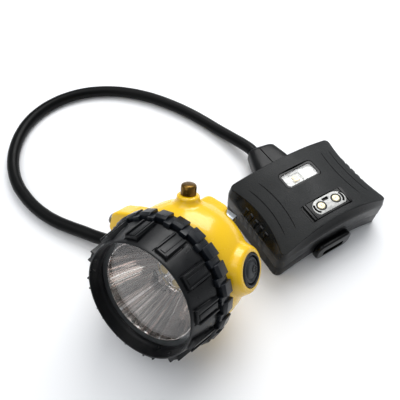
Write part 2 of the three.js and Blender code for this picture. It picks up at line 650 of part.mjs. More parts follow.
// ---------------------------------------------------------------- strap loop, cable hood, wires
// A strap goes in through the slot, behind the lower bar and out below.
function strapLoop() {
  const tab = slab(roundedRectangle(loopSize[0], loopSize[2], 3), 0, loopSize[1]);
  const slot = slab(roundedRectangle(slotSize[0], slotSize[1], 1), -1, loopSize[1] + 1).translate(0, -1.7, 0);
  const channel = block(slotSize[0], 7.6, 3, 0, -3.2, 0.5);
  return carve(tab, [], [slot, channel]).rotateX(Math.PI / 2).translate(0, -halfWidth - 0.2, loopSize[2] / 2 + 1.8);
}
function cableHood() {
  const geometry = new THREE.BoxGeometry(2, 2, 2, 6, 3, 3);
  const place = geometry.attributes.position;
  for (let i = 0; i < place.count; i += 1) {
    const [u, v, t] = [place.getX(i), place.getZ(i), (place.getY(i) + 1) / 2];
    const square = 1 / Math.max(1, Math.hypot(u, v) / 1.16);
    const halfX = 15.5 - 5.5 * t;
    const halfZ = 7.4 - 0.9 * t;
    const x = 3 + 3 * t + u * square * halfX;
    place.setXYZ(i, x, halfWidth + gap + t * (hoodTip - halfWidth - gap), 9.2 + v * square * halfZ);
  }
  return geometry;
}
addPiece(pack, 'strap_loop', strapLoop(), blackPlastic);
addPiece(pack, 'cable_hood', cableHood(), blackPlastic);
addPiece(pack, 'pack_wire_red', rod([[-8, 21.6, 17], [-8, 21, 21.6], [-7.6, 17, 23.2], [-6.4, 9, 22.6], [-6, 4, 21.6]],
  1.4, 8, 8), redWire);
addPiece(pack, 'pack_wire_black', rod([[8, 21.6, 17], [8, 21, 21.6], [7.6, 17, 23.2], [6.4, 9, 22.6], [6, 4, 21.6]],
  1.4, 8, 8), blackWire);

addPiece(lamp, 'cable', rod(cableRoute, cableDiameter, 10, 46), blackRubber);

export default lamp;
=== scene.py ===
import json
import math
import random

import bmesh
import bpy
from mathutils import Matrix, Vector


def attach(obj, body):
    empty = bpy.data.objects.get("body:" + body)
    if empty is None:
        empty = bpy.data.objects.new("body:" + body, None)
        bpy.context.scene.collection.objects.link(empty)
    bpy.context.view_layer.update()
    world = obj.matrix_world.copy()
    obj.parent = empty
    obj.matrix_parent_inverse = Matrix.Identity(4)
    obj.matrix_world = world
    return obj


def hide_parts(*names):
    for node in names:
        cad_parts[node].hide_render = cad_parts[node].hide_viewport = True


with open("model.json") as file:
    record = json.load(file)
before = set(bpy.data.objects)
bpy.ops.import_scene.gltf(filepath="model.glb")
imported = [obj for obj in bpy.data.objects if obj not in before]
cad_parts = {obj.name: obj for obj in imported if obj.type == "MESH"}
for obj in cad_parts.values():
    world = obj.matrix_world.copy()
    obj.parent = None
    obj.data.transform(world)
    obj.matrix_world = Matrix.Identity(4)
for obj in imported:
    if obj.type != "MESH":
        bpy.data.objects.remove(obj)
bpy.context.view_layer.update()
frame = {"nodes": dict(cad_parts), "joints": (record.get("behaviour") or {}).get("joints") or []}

# A corded cap lamp: yellow headpiece, black screw-on bezel, curved battery pack.
# Shapes are drawn in millimetres in two local frames, the headpiece's and the pack's.
# Headpiece: the beam leaves along +Z, +Y is the lamp's top, z is minus the depth behind the lip.
# Pack: x along its length, y away from the strap loop, z up from its feet.

mm = 0.001
fullTurn = 2 * math.pi


def placing(xAxis, yAxis, zAxis, spot):
    rows = [[xAxis[i] * mm, yAxis[i] * mm, zAxis[i] * mm, spot[i]] for i in range(3)]
    return Matrix(rows + [[0, 0, 0, 1]])


bezelJoint = next(j for j in frame["joints"] if j["name"] == "bezel_turn")
lipSpot = Vector(bezelJoint["pos_m"])  # centre of the bezel's front lip
beam = Vector(bezelJoint["axis"]).normalized()
lampSide = Vector((0, 0, 1)).cross(beam).normalized()
headPlace = placing(lampSide, beam.cross(lampSide), beam, lipSpot)

packSpot = Vector((36, 21.9, -0.6)) * mm
packTurn = math.radians(31.9)
packPlace = Matrix.Translation(packSpot) @ Matrix.Rotation(packTurn, 4, "Z") @ Matrix.Scale(mm, 4)


def radialPlace(turnDegrees, depth):
    # stands a shape made along +Z on the headpiece's side: z becomes the distance from the beam axis
    stand = Matrix.Rotation(-math.pi / 2, 4, "X")
    turn = Matrix.Rotation(math.radians(turnDegrees), 4, "Z")
    return headPlace @ Matrix.Translation((0, 0, -depth)) @ turn @ stand


# Camera

view = {
    "spot": Vector((-25.25, -128.2, 232.9)) * mm,
    "target": Vector((-25.25, 31.3, 0)) * mm,
    "roll": math.radians(1.31),
    "lens": 40.5,  # mm on a 36 mm sensor
}


def makeCamera():
    camera = bpy.data.objects.new("camera", bpy.data.cameras.new("camera"))
    camera.data.lens = view["lens"]
    camera.data.sensor_width = 36
    camera.data.clip_start = 0.01
    back = (view["spot"] - view["target"]).normalized()
    right = Vector((0, 0, 1)).cross(back).normalized()
    up = back.cross(right)
    rolledRight = right * math.cos(view["roll"]) + up * math.sin(view["roll"])
    rolledUp = back.cross(rolledRight)
    rows = [[rolledRight[i], rolledUp[i], back[i], view["spot"][i]] for i in range(3)]
    camera.matrix_world = Matrix(rows + [[0, 0, 0, 1]])
    bpy.context.collection.objects.link(camera)
    bpy.context.scene.camera = camera


makeCamera()
print("camera placed")


# Materials

def linear(hexColour):
    channels = [int(hexColour[i:i + 2], 16) / 255 for i in (0, 2, 4)]
    return [c / 12.92 if c <= 0.04045 else ((c + 0.055) / 1.055) ** 2.4 for c in channels] + [1]


def perMm(size):
    return 1 / (size * mm)  # a pattern's scale for features of that size, in Object coordinates


def addNode(tree, kind, inputs=None, **settings):
    node = tree.nodes.new(kind)
    for key, value in settings.items():
        setattr(node, key, value)
    for key, value in (inputs or {}).items():
        if isinstance(value, bpy.types.NodeSocket):
            tree.links.new(value, node.inputs[key])
        else:
            node.inputs[key].default_value = value
    return node


def newMaterial(name, inputs):
    material = bpy.data.materials.new(name)
    material.use_nodes = True
    shader = material.node_tree.nodes["Principled BSDF"]
    for key, value in inputs.items():
        shader.inputs[key].default_value = value
    return material, material.node_tree, shader


def surface(name, colours, patch, rough, grain=None, grainDepth=0.0, shine=0.5, **inputs):
    # two colours mixed in soft patches, roughness that varies with them, and an optional fine grain
    material, tree, shader = newMaterial(name, inputs)
    shader.inputs["Specular IOR Level"].default_value = shine
    where = addNode(tree, "ShaderNodeTexCoord").outputs["Object"]
    patches = addNode(tree, "ShaderNodeTexNoise", {"Vector": where, "Scale": perMm(patch), "Detail": 4.0})
    mix = addNode(tree, "ShaderNodeMix", {"Factor": patches.outputs["Fac"]}, data_type="RGBA")
    mix.inputs[6].default_value = linear(colours[0])
    mix.inputs[7].default_value = linear(colours[1])
    tree.links.new(mix.outputs[2], shader.inputs["Base Color"])
    spread = addNode(tree, "ShaderNodeMapRange", {"Value": patches.outputs["Fac"], "From Min": 0.3,
                                                  "From Max": 0.7, "To Min": rough[0], "To Max": rough[1]})
    tree.links.new(spread.outputs[0], shader.inputs["Roughness"])
    if grain:
        fine = addNode(tree, "ShaderNodeTexNoise", {"Vector": where, "Scale": perMm(grain), "Detail": 3.0,
                                                    "Roughness": 0.6})
        bump = addNode(tree, "ShaderNodeBump", {"Height": fine.outputs["Fac"], "Strength": 1.0,
                                                "Distance": grainDepth * mm})
        tree.links.new(bump.outputs[0], shader.inputs["Normal"])
    return material


def sparkGrain():
    # ABS moulded in a spark-eroded tool: a pebbled, greyish matt skin with tiny bright crests
    material = surface("sparkErodedAbs", ("0F1112", "191B1C"), 9, (0.4, 0.54), shine=0.22)
    tree = material.node_tree
    shader = tree.nodes["Principled BSDF"]
    where = addNode(tree, "ShaderNodeTexCoord").outputs["Object"]
    pebbles = addNode(tree, "ShaderNodeTexNoise", {"Vector": where, "Scale": perMm(0.5), "Detail": 5.0,
                                                   "Roughness": 0.7})
    crests = addNode(tree, "ShaderNodeTexVoronoi", {"Vector": where, "Scale": perMm(0.6)})
    height = addNode(tree, "ShaderNodeMath", {0: pebbles.outputs["Fac"], 1: crests.outputs["Distance"]},
                     operation="ADD")
    bump = addNode(tree, "ShaderNodeBump", {"Height": height.outputs[0], "Strength": 1.0,
                                            "Distance": 0.1 * mm})
    tree.links.new(bump.outputs[0], shader.inputs["Normal"])
    return material


def tarnishedBrass():
    # machined brass gone brown: turned rings run round the post and the tarnish lies in blotches
    material = surface("tarnishedBrass", ("8A6A30", "3B2814"), 2.6, (0.2, 0.42), Metallic=1.0)
    tree = material.node_tree
    shader = tree.nodes["Principled BSDF"]
    where = addNode(tree, "ShaderNodeTexCoord").outputs["Object"]
    rings = addNode(tree, "ShaderNodeTexWave", {"Vector": where, "Scale": perMm(5), "Distortion": 1.5,
                                                "Detail": 2.0}, bands_direction="Z")
    bump = addNode(tree, "ShaderNodeBump", {"Height": rings.outputs["Fac"], "Strength": 0.3,
                                            "Distance": 0.05 * mm})
    tree.links.new(bump.outputs[0], shader.inputs["Normal"])
    return material


def paintedRayChrome():
    # metallised plastic with painted reflections: rays from the LEDs to the rim are painted into its colour,
    # bright, grey and faintly warm, over the real flutes of the bowl
    material = surface("paintedRayChrome", ("FFFFFF", "FFFFFF"), 12, (0.03, 0.1), Metallic=1.0)
    tree = material.node_tree
    shader = tree.nodes["Principled BSDF"]
    where = addNode(tree, "ShaderNodeTexCoord").outputs["Object"]
    away = addNode(tree, "ShaderNodeVectorMath", {0: where, 1: lipSpot}, operation="SUBTRACT").outputs[0]
    across = addNode(tree, "ShaderNodeVectorMath", {0: away, 1: lampSide}, operation="DOT_PRODUCT")
    above = addNode(tree, "ShaderNodeVectorMath", {0: away, 1: beam.cross(lampSide)}, operation="DOT_PRODUCT")
    angle = addNode(tree, "ShaderNodeMath", {0: above.outputs["Value"], 1: across.outputs["Value"]},
                    operation="ARCTAN2")
    rays = addNode(tree, "ShaderNodeTexNoise", {"W": angle.outputs[0], "Scale": 9.0, "Detail": 3.0,
                                                "Roughness": 0.75}, noise_dimensions="1D")
    # painted reflections: grey, white and faintly pink rays set into the base colour by angle round the beam
    # axis
    ramp = addNode(tree, "ShaderNodeValToRGB", {0: rays.outputs["Fac"]})
    stops = ramp.color_ramp.elements
    stops[0].position, stops[0].color = 0.36, linear("8E8F8C")
    stops[1].position, stops[1].color = 0.66, linear("FFFFFF")
    for position, colour in ((0.44, "B9BAB6"), (0.5, "F1DDD6"), (0.54, "9FA09D"), (0.6, "E4E5E2")):
        stops.new(position).color = linear(colour)
    tree.links.new(ramp.outputs[0], shader.inputs["Base Color"])
    return material


def polishedAcrylic():
    # clear moulded acrylic: see-through, with a sharp reflection; lamps shine straight through it
    material, tree, shader = newMaterial("polishedAcrylic", {"Transmission Weight": 1.0, "IOR": 1.49,
                                                             "Roughness": 0.0})
    shadowRay = addNode(tree, "ShaderNodeLightPath").outputs["Is Shadow Ray"]
    through = addNode(tree, "ShaderNodeBsdfTransparent").outputs[0]
    mixed = addNode(tree, "ShaderNodeMixShader", {0: shadowRay, 1: shader.outputs[0], 2: through})
    tree.links.new(mixed.outputs[0], tree.nodes["Material Output"].inputs["Surface"])
    return material


finishes = {
    # glossy ABS, polished mould: deep yellow, faint flow ripple
    "yellow": surface("polishedYellowAbs", ("EFC200", "E6B600"), 14, (0.2, 0.3), 1.6, 0.02,
                      **{"Coat Weight": 0.25, "Coat Roughness": 0.08}),
    # glass-filled nylon, fine mould texture: satin black, a little blue where it catches the light
    "bezel": surface("mouldedNylon", ("050608", "0A0C0F"), 7, (0.26, 0.42), 0.45, 0.05, 0.3),
    # the same nylon on the grip, rubbed smoother on its tops
    "grip": surface("rubbedNylon", ("090C11", "10151B"), 4, (0.24, 0.38), 0.4, 0.03, 0.36),
    # polished ABS edge band: near black, mirror-like
    "band": surface("polishedBlackAbs", ("020303", "040506"), 10, (0.16, 0.28), 1.2, 0.008, 0.22),
    # satin ABS walls
    "wall": surface("satinAbs", ("050607", "090A0C"), 8, (0.28, 0.4), 0.4, 0.03, 0.19),
    # extruded rubber cable jacket: dull black with a soft broad sheen
    "jacket": surface("extrudedRubber", ("030404", "050607"), 5, (0.3, 0.42), 0.5, 0.03, 0.11),
    # moulded silicone rubber: black, soft sheen
    "rubber": surface("mouldedRubber", ("0D1013", "15191D"), 3, (0.34, 0.48), 0.3, 0.02, 0.38),
    # the button's cap, a shade greyer than its ring
    "cap": surface("rubbedSilicone", ("1A1E22", "22272C"), 3, (0.4, 0.52), 0.3, 0.02, 0.38),
    # grey silicone seal
    "seal": surface("greySilicone", ("3E4244", "4C5052"), 5, (0.4, 0.55), 0.4, 0.02),
    # vacuum-metallised plastic: bright, faintly grey, very smooth
    "chrome": surface("metallisedPlastic", ("E8E9EA", "D8D9DA"), 12, (0.02, 0.06), Metallic=1.0),
    # the reflector's chrome, with painted reflection rays in its colour
    "rays": paintedRayChrome(),
    "brass": tarnishedBrass(),
    # nickel plate over stamped brass, satin: pale, slightly grained
    "nickel": surface("satinNickel", ("989896", "808180"), 1.5, (0.42, 0.56), 0.35, 0.03, Metallic=1.0),
    # gold-flashed contact faces, worn pale
    "contact": surface("wornContact", ("B8B29C", "A39B80"), 1.2, (0.35, 0.5), 0.3, 0.01, Metallic=1.0),
    # rolled spring steel, fine scratches
    "steel": surface("rolledSteel", ("B4B8BB", "8F9497"), 3, (0.22, 0.4), 0.25, 0.015, Metallic=1.0),
    "clear": polishedAcrylic(),
    # glossy white moulding that spreads the light
    "white": surface("whiteMoulding", ("C6C8C5", "B4B6B3"), 3, (0.3, 0.45), 0.6, 0.02),
    # silicone gel with yellow phosphor
    "phosphor": surface("phosphorGel", ("DCC88E", "C6AA68"), 1, (0.25, 0.4), 0.3, 0.02),
    # green solder mask over copper tracks
    "board": surface("solderMask", ("1E5A34", "17482A"), 2, (0.3, 0.5), 0.8, 0.03),
    # cast aluminium
    "aluminium": surface("castAluminium", ("AEB2B5", "9CA0A3"), 2, (0.35, 0.5), 0.5, 0.05, Metallic=1.0),
    # aluminised film round a pouch cell
    "foil": surface("cellFoil", ("B4B7BA", "9EA2A6"), 4, (0.25, 0.4), 2, 0.08, Metallic=0.8),
    # silicone wire insulation
    "redWire": surface("redSilicone", ("B3201C", "9A1915"), 2, (0.45, 0.6), 0.4, 0.02),
    "blackWire": surface("blackSilicone", ("17181A", "1F2123"), 2, (0.45, 0.6), 0.4, 0.02),
    "spark": sparkGrain(),
}
print("materials made")


# Mesh helpers

def newPiece(name, points, faces):
    mesh = bpy.data.meshes.new(name)
    mesh.from_pydata([tuple(p) for p in points], [], faces)
    piece = bpy.data.objects.new(name, mesh)
    bpy.context.collection.objects.link(piece)
    heal(mesh)
    return piece


def heal(mesh, gap=1e-4):
    shape = bmesh.new()
    shape.from_mesh(mesh)
    bmesh.ops.remove_doubles(shape, verts=shape.verts, dist=gap)
    bmesh.ops.recalc_face_normals(shape, faces=shape.faces)
    shape.to_mesh(mesh)
    shape.free()


def modify(piece, kind, **settings):
    modifier = piece.modifiers.new(kind.lower(), kind)
    for key, value in settings.items():
        setattr(modifier, key, value)
    return modifier


def bake(piece):
    # the modifiers' result becomes the plain mesh
    graph = bpy.context.evaluated_depsgraph_get()
    mesh = bpy.data.meshes.new_from_object(piece.evaluated_get(graph))
    piece.modifiers.clear()
    piece.data = mesh


def cut(piece, *cutters):
    for cutter in cutters:
        modify(piece, "BOOLEAN", operation="DIFFERENCE", solver="EXACT", object=cutter)
        bake(piece)
        bpy.data.objects.remove(cutter)


def finishPiece(piece, place, finish, body, replaces=(), sharp=32):
    # edges that turn more than `sharp` degrees stay crisp; a repeated piece already has its finish
    bake(piece)
    mesh = piece.data
    mesh.transform(place)
    shape = bmesh.new()
    shape.from_mesh(mesh)
    for edge in shape.edges:
        edge.smooth = edge.calc_face_angle(math.pi) < math.radians(sharp)
    for face in shape.faces:
        face.smooth = True
    shape.to_mesh(mesh)
    shape.free()
    if finish:
        mesh.materials.clear()
        mesh.materials.append(finishes[finish])
    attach(piece, body)
    if replaces:
        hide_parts(*replaces)
    return piece


def softened(outline, radius, steps=3, closed=True):
    # rounds each corner of an outline with a short arc
    result = []
    count = len(outline)
    for i, corner in enumerate(outline):
        corner = Vector(corner)
        if not closed and i in (0, count - 1):
            result.append(corner)
            continue
        before = Vector(outline[i - 1]) - corner
        after = Vector(outline[(i + 1) % count]) - corner
        reach = min(radius, before.length * 0.45, after.length * 0.45)
        start = corner + before.normalized() * reach
        end = corner + after.normalized() * reach
        for step in range(steps + 1):
            t = step / steps
            result.append(start * (1 - t) ** 2 + corner * 2 * t * (1 - t) + end * t * t)
    return result


def turned(name, profile, segments=96, wobble=None):
    # profile: (radius, z) pairs that start and end on the axis, or close on themselves
    # wobble: a function of angle, radius and z that gives the radius to use instead
    points = []
    faces = []
    count = len(profile)
    for i in range(segments):
        angle = fullTurn * i / segments
        for radius, z in profile:
            r = wobble(angle, radius, z) if wobble else radius
            points.append((r * math.cos(angle), r * math.sin(angle), z))
    onAxis = profile[0][0] < 1e-6 and profile[-1][0] < 1e-6
    for i in range(segments):
        j = (i + 1) % segments
        for k in range(count if not onAxis else count - 1):
            n = (k + 1) % count
            faces.append((i * count + k, j * count + k, j * count + n, i * count + n))
    return newPiece(name, points, faces)


def extruded(name, outline, low, high, bevel=0.0, steps=3):
    count = len(outline)
    points = [(x, y, low) for x, y in outline] + [(x, y, high) for x, y in outline]
    faces = [tuple(range(count)), tuple(range(count, 2 * count))]
    faces += [(i, (i + 1) % count, count + (i + 1) % count, count + i) for i in range(count)]
    piece = newPiece(name, points, faces)
    if bevel:
        modify(piece, "BEVEL", width=bevel, segments=steps, limit_method="ANGLE",
               angle_limit=math.radians(40))
        bake(piece)
    return piece


def roundedOutline(width, depth, radius, centre=(0, 0), steps=7):
    points = []
    for cx, cy, start in ((1, 1, 0), (-1, 1, 90), (-1, -1, 180), (1, -1, 270)):
        for step in range(steps + 1):
            angle = math.radians(start + 90 * step / steps)
            points.append((centre[0] + cx * (width / 2 - radius) + radius * math.cos(angle),
                           centre[1] + cy * (depth / 2 - radius) + radius * math.sin(angle)))
    return points


def copiesTree():
    # Copies of the object: each moves one step and turns one angle on from the last
    tree = bpy.data.node_groups.new("copies", "GeometryNodeTree")
    sockets = (("piece", "Geometry"), ("count", "Int"), ("firstAngle", "Float"), ("angleStep", "Float"),
               ("start", "Vector"), ("step", "Vector"), ("finish", "Material"))
    for name, kind in sockets:
        tree.interface.new_socket(name, in_out="INPUT", socket_type="NodeSocket" + kind)
    tree.interface.new_socket("Geometry", in_out="OUTPUT", socket_type="NodeSocketGeometry")
    given = tree.nodes.new("NodeGroupInput").outputs
    index = addNode(tree, "GeometryNodeInputIndex").outputs[0]
    angle = addNode(tree, "ShaderNodeMath", {0: index, 1: given["angleStep"], 2: given["firstAngle"]},
                    operation="MULTIPLY_ADD")
    turn = addNode(tree, "ShaderNodeCombineXYZ", {"Z": angle.outputs[0]})
    spot = addNode(tree, "ShaderNodeVectorMath", {0: given["step"], 1: index, 2: given["start"]},
                   operation="MULTIPLY_ADD")
    points = addNode(tree, "GeometryNodePoints", {"Count": given["count"], "Position": spot.outputs[0]})
    copies = addNode(tree, "GeometryNodeInstanceOnPoints",
                     {"Points": points.outputs[0], "Instance": given["piece"], "Rotation": turn.outputs[0]})
    real = addNode(tree, "GeometryNodeRealizeInstances", {0: copies.outputs[0]})
    painted = addNode(tree, "GeometryNodeSetMaterial", {"Geometry": real.outputs[0],
                                                        "Material": given["finish"]})
    result = tree.nodes.new("NodeGroupOutput")
    tree.links.new(painted.outputs[0], result.inputs[0])
    return tree


copies = copiesTree()


def repeat(piece, finish, **values):
    # values: the tree's inputs by name
    modifier = piece.modifiers.new("copies", "NODES")
    modifier.node_group = copies
    names = {item.name: item.identifier for item in copies.interface.items_tree if item.in_out == "INPUT"}
    modifier[names["finish"]] = finishes[finish]
    for key, value in values.items():
        modifier[names[key]] = value
    bake(piece)
    return piece


# Cable

cable = {
    "diameter": 7.5,
    "route": [  # centre line from the pack's hood round to the headpiece's gland, mm
        (8.9, 64.1, 8.8), (7, 66.8, 8.6), (4, 70.2, 8), (0.4, 73.9, 7.2), (-3.8, 78, 6.2), (-8.6, 82.6, 5.2),
        (-13.9, 87.3, 4.4), (-24, 95.8, 3.9), (-34.6, 103.4, 3.9), (-45.6, 110, 3.9), (-56.5, 115.4, 3.9),
        (-67.5, 119.6, 3.9), (-78.5, 122.4, 3.9), (-89.6, 123.8, 3.9), (-100.6, 123.4, 3.9),
        (-111.5, 121.2, 3.9), (-122, 116.8, 3.9), (-131.6, 110.2, 3.9), (-139.4, 101.6, 3.9),
        (-145.2, 91.1, 3.9), (-148.3, 79.1, 3.9), (-148.9, 67.2, 3.9), (-147.6, 56.7, 3.9),
        (-144.5, 46.6, 3.9), (-139.3, 36.5, 3.9), (-133, 28.4, 3.9), (-126.4, 21.7, 3.9), (-118.5, 15.5, 4),
        (-110, 10.4, 4.4), (-101.1, 6.4, 5), (-92.6, 3, 5.6), (-84.8, -0.3, 6.2), (-77.2, -3.5, 7.6),
    ],
}


def makeCable():
    curve = bpy.data.curves.new("cable", "CURVE")
    curve.dimensions = "3D"
    curve.bevel_depth = cable["diameter"] / 2 * mm
    curve.bevel_resolution = 7
    curve.use_fill_caps = True
    spline = curve.splines.new("BEZIER")
    spline.bezier_points.add(len(cable["route"]) - 1)
    spline.resolution_u = 6
    for point, place in zip(spline.bezier_points, cable["route"]):
        point.co = Vector(place) * mm
        point.handle_left_type = point.handle_right_type = "AUTO"
    curve.materials.append(finishes["jacket"])
    piece = bpy.data.objects.new("cableJacket", curve)
    bpy.context.collection.objects.link(piece)
    bpy.context.view_layer.update()
    length = spline.calc_length()
    print("cable length", round(length, 4))
    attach(piece, "body")
    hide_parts("cable")


makeCable()
print("cable made")


# Bezel

bezel = {
    "front": 1.5, "lipRadius": 29.4, "lipBore": 28.3, "shoulderBore": 27.5, "shoulderDepth": 4.8,
    "coneRadius": 32.5, "coneDepth": 14.6, "grooveRadius": 31.2, "grooveBack": 15.9,
    "bodyRadius": 33.3, "back": 22.6, "bore": 30.2, "lensPocket": 29,
    "teeth": 24, "toothTurn": 2, "toothRadius": 35.5, "toothWidth": 6.1, "stripRadius": 34.3,
    "pads": 12, "padTurn": -6, "padWidth": 6.6, "padLength": 13.2, "padDepth": 7.1, "padRise": 1.1,
    "ridgeWidth": 0.76, "ridgeRise": 1.95, "barWidth": 2.6, "barRise": 1.5, "outlineGroove": 0.45,
}


def bezelProfile():
    b = bezel
    outline = [
        (b["lipBore"], b["front"]), (b["lipRadius"] - 0.3, b["front"]),
        (b["lipRadius"] + 0.1, b["front"] - 1.2),
        (b["coneRadius"] - 0.15, -b["coneDepth"]), (b["grooveRadius"], -b["coneDepth"] - 0.1),
        (b["grooveRadius"], -b["grooveBack"]), (b["bodyRadius"], -b["grooveBack"] - 0.1),
        (b["bodyRadius"], -b["back"]), (b["bore"], -b["back"]), (b["bore"], -11.2),
        (b["lensPocket"], -10.6), (b["lensPocket"], -5.9), (b["shoulderBore"], -5.9),
        (b["shoulderBore"], -b["shoulderDepth"] - 0.3), (b["lipBore"] - 0.2, -b["shoulderDepth"] + 1),
    ]
    rounded = softened(outline, 0.45)
    dense = []
    for i, point in enumerate(rounded):  # extra rings along the cone carry the pads' outline grooves
        after = rounded[(i + 1) % len(rounded)]
        parts = 16 if (after - point).length > 10 and point.x > 29 and after.y > -15 else 1
        dense += [point.lerp(after, k / parts) for k in range(parts)]
    return dense


def padGrooves(angle, radius, z):
    # a thin groove runs down both sides of each raised pad
    b = bezel
    if radius < b["lipRadius"] or not -b["coneDepth"] < z < b["front"] - 1.6:
        return radius
    pitch = fullTurn / b["pads"]
    first = math.radians(b["padTurn"]) + math.pi / 2
    away = abs((angle - first + pitch / 2) % pitch - pitch / 2) * radius
    edge = b["padWidth"] / 2 + 0.35
    return radius - b["outlineGroove"] if abs(away - edge) < 0.33 else radius


def block(name, low, high, bevel=0.25):
    (x0, y0, z0), (x1, y1, z1) = low, high
    return extruded(name, [(x0, y0), (x1, y0), (x1, y1), (x0, y1)], z0, z1, bevel)


def joined(name, pieces):
    shape = bmesh.new()
    for piece in pieces:
        shape.from_mesh(piece.data)
        bpy.data.objects.remove(piece)
    mesh = bpy.data.meshes.new(name)
    shape.to_mesh(mesh)
    shape.free()
    whole = bpy.data.objects.new(name, mesh)
    bpy.context.collection.objects.link(whole)
    return whole


def gripTooth():
    # a tooth's side view: steep dark front, short slope, flat top
    b = bezel
    low = b["bodyRadius"] - 1.2
    side = [(low, -b["back"] + 0.15), (b["toothRadius"] - 0.1, -b["back"] + 0.15),
            (b["toothRadius"], -b["grooveBack"] - 1.5), (b["toothRadius"] - 0.9, -b["grooveBack"] - 0.05),
            (low, -b["grooveBack"] - 0.05)]
    tooth = extruded("gripTeeth", side, -b["toothWidth"] / 2, b["toothWidth"] / 2, 0.3)
    # (radius, z) drawn in x, y: turn it so that the width runs across and the radius points up
    tooth.data.transform(Matrix(((0, 0, -1, 0), (1, 0, 0, 0), (0, 1, 0, 0), (0, 0, 0, 1))))
    return tooth


def bezelPad():
    # a flat pad with two thin ridges along its edges and a wider bar between them
    b = bezel
    end = b["padLength"] / 2
    half = b["padWidth"] / 2
    ridge = b["ridgeWidth"] / 2
    bar = b["barWidth"] / 2
    parts = [block("pad", (-half, -1.5, -end), (half, b["padRise"], end), 0.15)]
    for side in (-1, 1):
        edge = side * (half - 0.5)
        parts.append(block("ridge", (edge - ridge, 0.1, -end + 0.1), (edge + ridge, b["ridgeRise"], end),
                           0.18))
    parts.append(block("bar", (-bar, 0.1, -end + 0.3), (bar, b["barRise"], end - 0.8), 0.18))
    pad = joined("bezelPads", parts)
    slope = math.atan2(b["coneRadius"] - b["lipRadius"] - 1.4, b["coneDepth"])
    middle = (b["coneRadius"] + b["lipRadius"]) / 2
    pad.data.transform(Matrix.Translation((0, middle, -b["padDepth"])) @ Matrix.Rotation(slope, 4, "X"))
    return pad


def makeBezel():
    b = bezel
    ring = turned("bezelRing", bezelProfile(), 600, padGrooves)
    finishPiece(ring, headPlace, "bezel", "bezel", ["bezel"])
    tooth = gripTooth()
    repeat(tooth, "grip", count=b["teeth"], firstAngle=math.radians(b["toothTurn"]),
           angleStep=fullTurn / b["teeth"])
    finishPiece(tooth, headPlace, None, "bezel", sharp=25)
    strip = block("gripStrips", (-1.75, b["bodyRadius"] - 2, -b["back"] + 0.7),
                  (1.75, b["stripRadius"], -b["coneDepth"] + 0.1), 0.25)
    repeat(strip, "grip", count=b["teeth"], firstAngle=math.radians(b["toothTurn"] + 180 / b["teeth"]),
           angleStep=fullTurn / b["teeth"])
    finishPiece(strip, headPlace, None, "bezel", sharp=25)
    pad = bezelPad()
    repeat(pad, "bezel", count=b["pads"], firstAngle=math.radians(b["padTurn"]),
           angleStep=fullTurn / b["pads"])
    finishPiece(pad, headPlace, None, "bezel", sharp=25)


makeBezel()
print("bezel made")


# Lens, reflector and LEDs

optics = {
    "lensRadius": 28.6, "lensFront": -6.0, "lensThick": 1.6, "rim": 24.6, "rimDepth": 7.8, "flange": 28.3,
    "bowl": 13.5, "bowlDepth": 30.2, "dishDepth": 32, "leds": 6, "ledRing": 9.8, "ledTurn": 10,
    "streaks": 60, "streakDepth": 0.26,
}


def streaked():
    # shallow uneven flutes down the bowl break its reflections into rays
    rng = random.Random(11)
    knots = [rng.uniform(-1, 1) for _ in range(optics["streaks"])]

    def wobble(angle, radius, z):
        if not -optics["bowlDepth"] < z < -optics["rimDepth"] - 0.2 or radius > optics["rim"]:
            return radius
        place = angle / fullTurn * len(knots)
        i = int(place) % len(knots)
        mixed = knots[i] + (knots[(i + 1) % len(knots)] - knots[i]) * (place - int(place))
        return radius + optics["streakDepth"] * mixed
    return wobble


def makeLens():
    o = optics
    radius, front = o["lensRadius"], o["lensFront"]
    back = front - o["lensThick"]
    lens = turned("lensDisc", [(0, back), (radius - 0.2, back), (radius, back + 0.2), (radius, front - 0.2),
                               (radius - 0.2, front), (0, front)], 96)
    finishPiece(lens, headPlace, "clear", "lens_set", ["lens"])
    sealFront, sealBack = -o["rimDepth"], -o["rimDepth"] - 1.5
    seal = turned("lensSeal", softened([(o["rim"] + 0.8, sealFront), (radius - 0.2, sealFront),
                                        (radius - 0.2, sealBack), (o["rim"] + 0.8, sealBack)], 0.3), 96)
    finishPiece(seal, headPlace, "seal", "lens_set", ["lens_gasket"])


def bowlProfile():
    # the mirror's curve, the bead round the LED dish, and a flange that the bezel clamps
    o = optics
    steps = 26
    inner = []
    for i in range(steps + 1):
        t = i / steps
        radius = o["rim"] + (o["bowl"] - o["rim"]) * (0.72 * t + 0.28 * t ** 3)
        inner.append((radius, -(o["rimDepth"] + (o["bowlDepth"] - o["rimDepth"]) * t)))
    outer = [(r + 1.1, z - 0.4) for r, z in inner if z < -11]
    bead = [(o["bowl"] - 0.1, -o["bowlDepth"] - 0.2), (o["bowl"] - 0.7, -o["bowlDepth"] + 0.2),
            (o["bowl"] - 1.2, -o["bowlDepth"] - 0.3), (o["bowl"] - 1.3, -o["dishDepth"] + 0.3)]
    profile = [(0, -o["dishDepth"]), (o["bowl"] - 1.6, -o["dishDepth"])] + bead[::-1] + inner[::-1]
    profile += [(o["rim"] + 0.15, -o["rimDepth"] + 0.1), (o["rim"] + 0.45, -o["rimDepth"] + 0.14),
                (o["rim"] + 0.75, -o["rimDepth"]), (o["rim"] + 0.75, -9.6), (o["flange"], -9.6),
                (o["flange"], -10.8), (o["rim"] + 0.9, -10.8)]
    return profile + outer + [(o["bowl"] + 0.6, -o["dishDepth"] - 1.2), (0, -o["dishDepth"] - 1.2)]


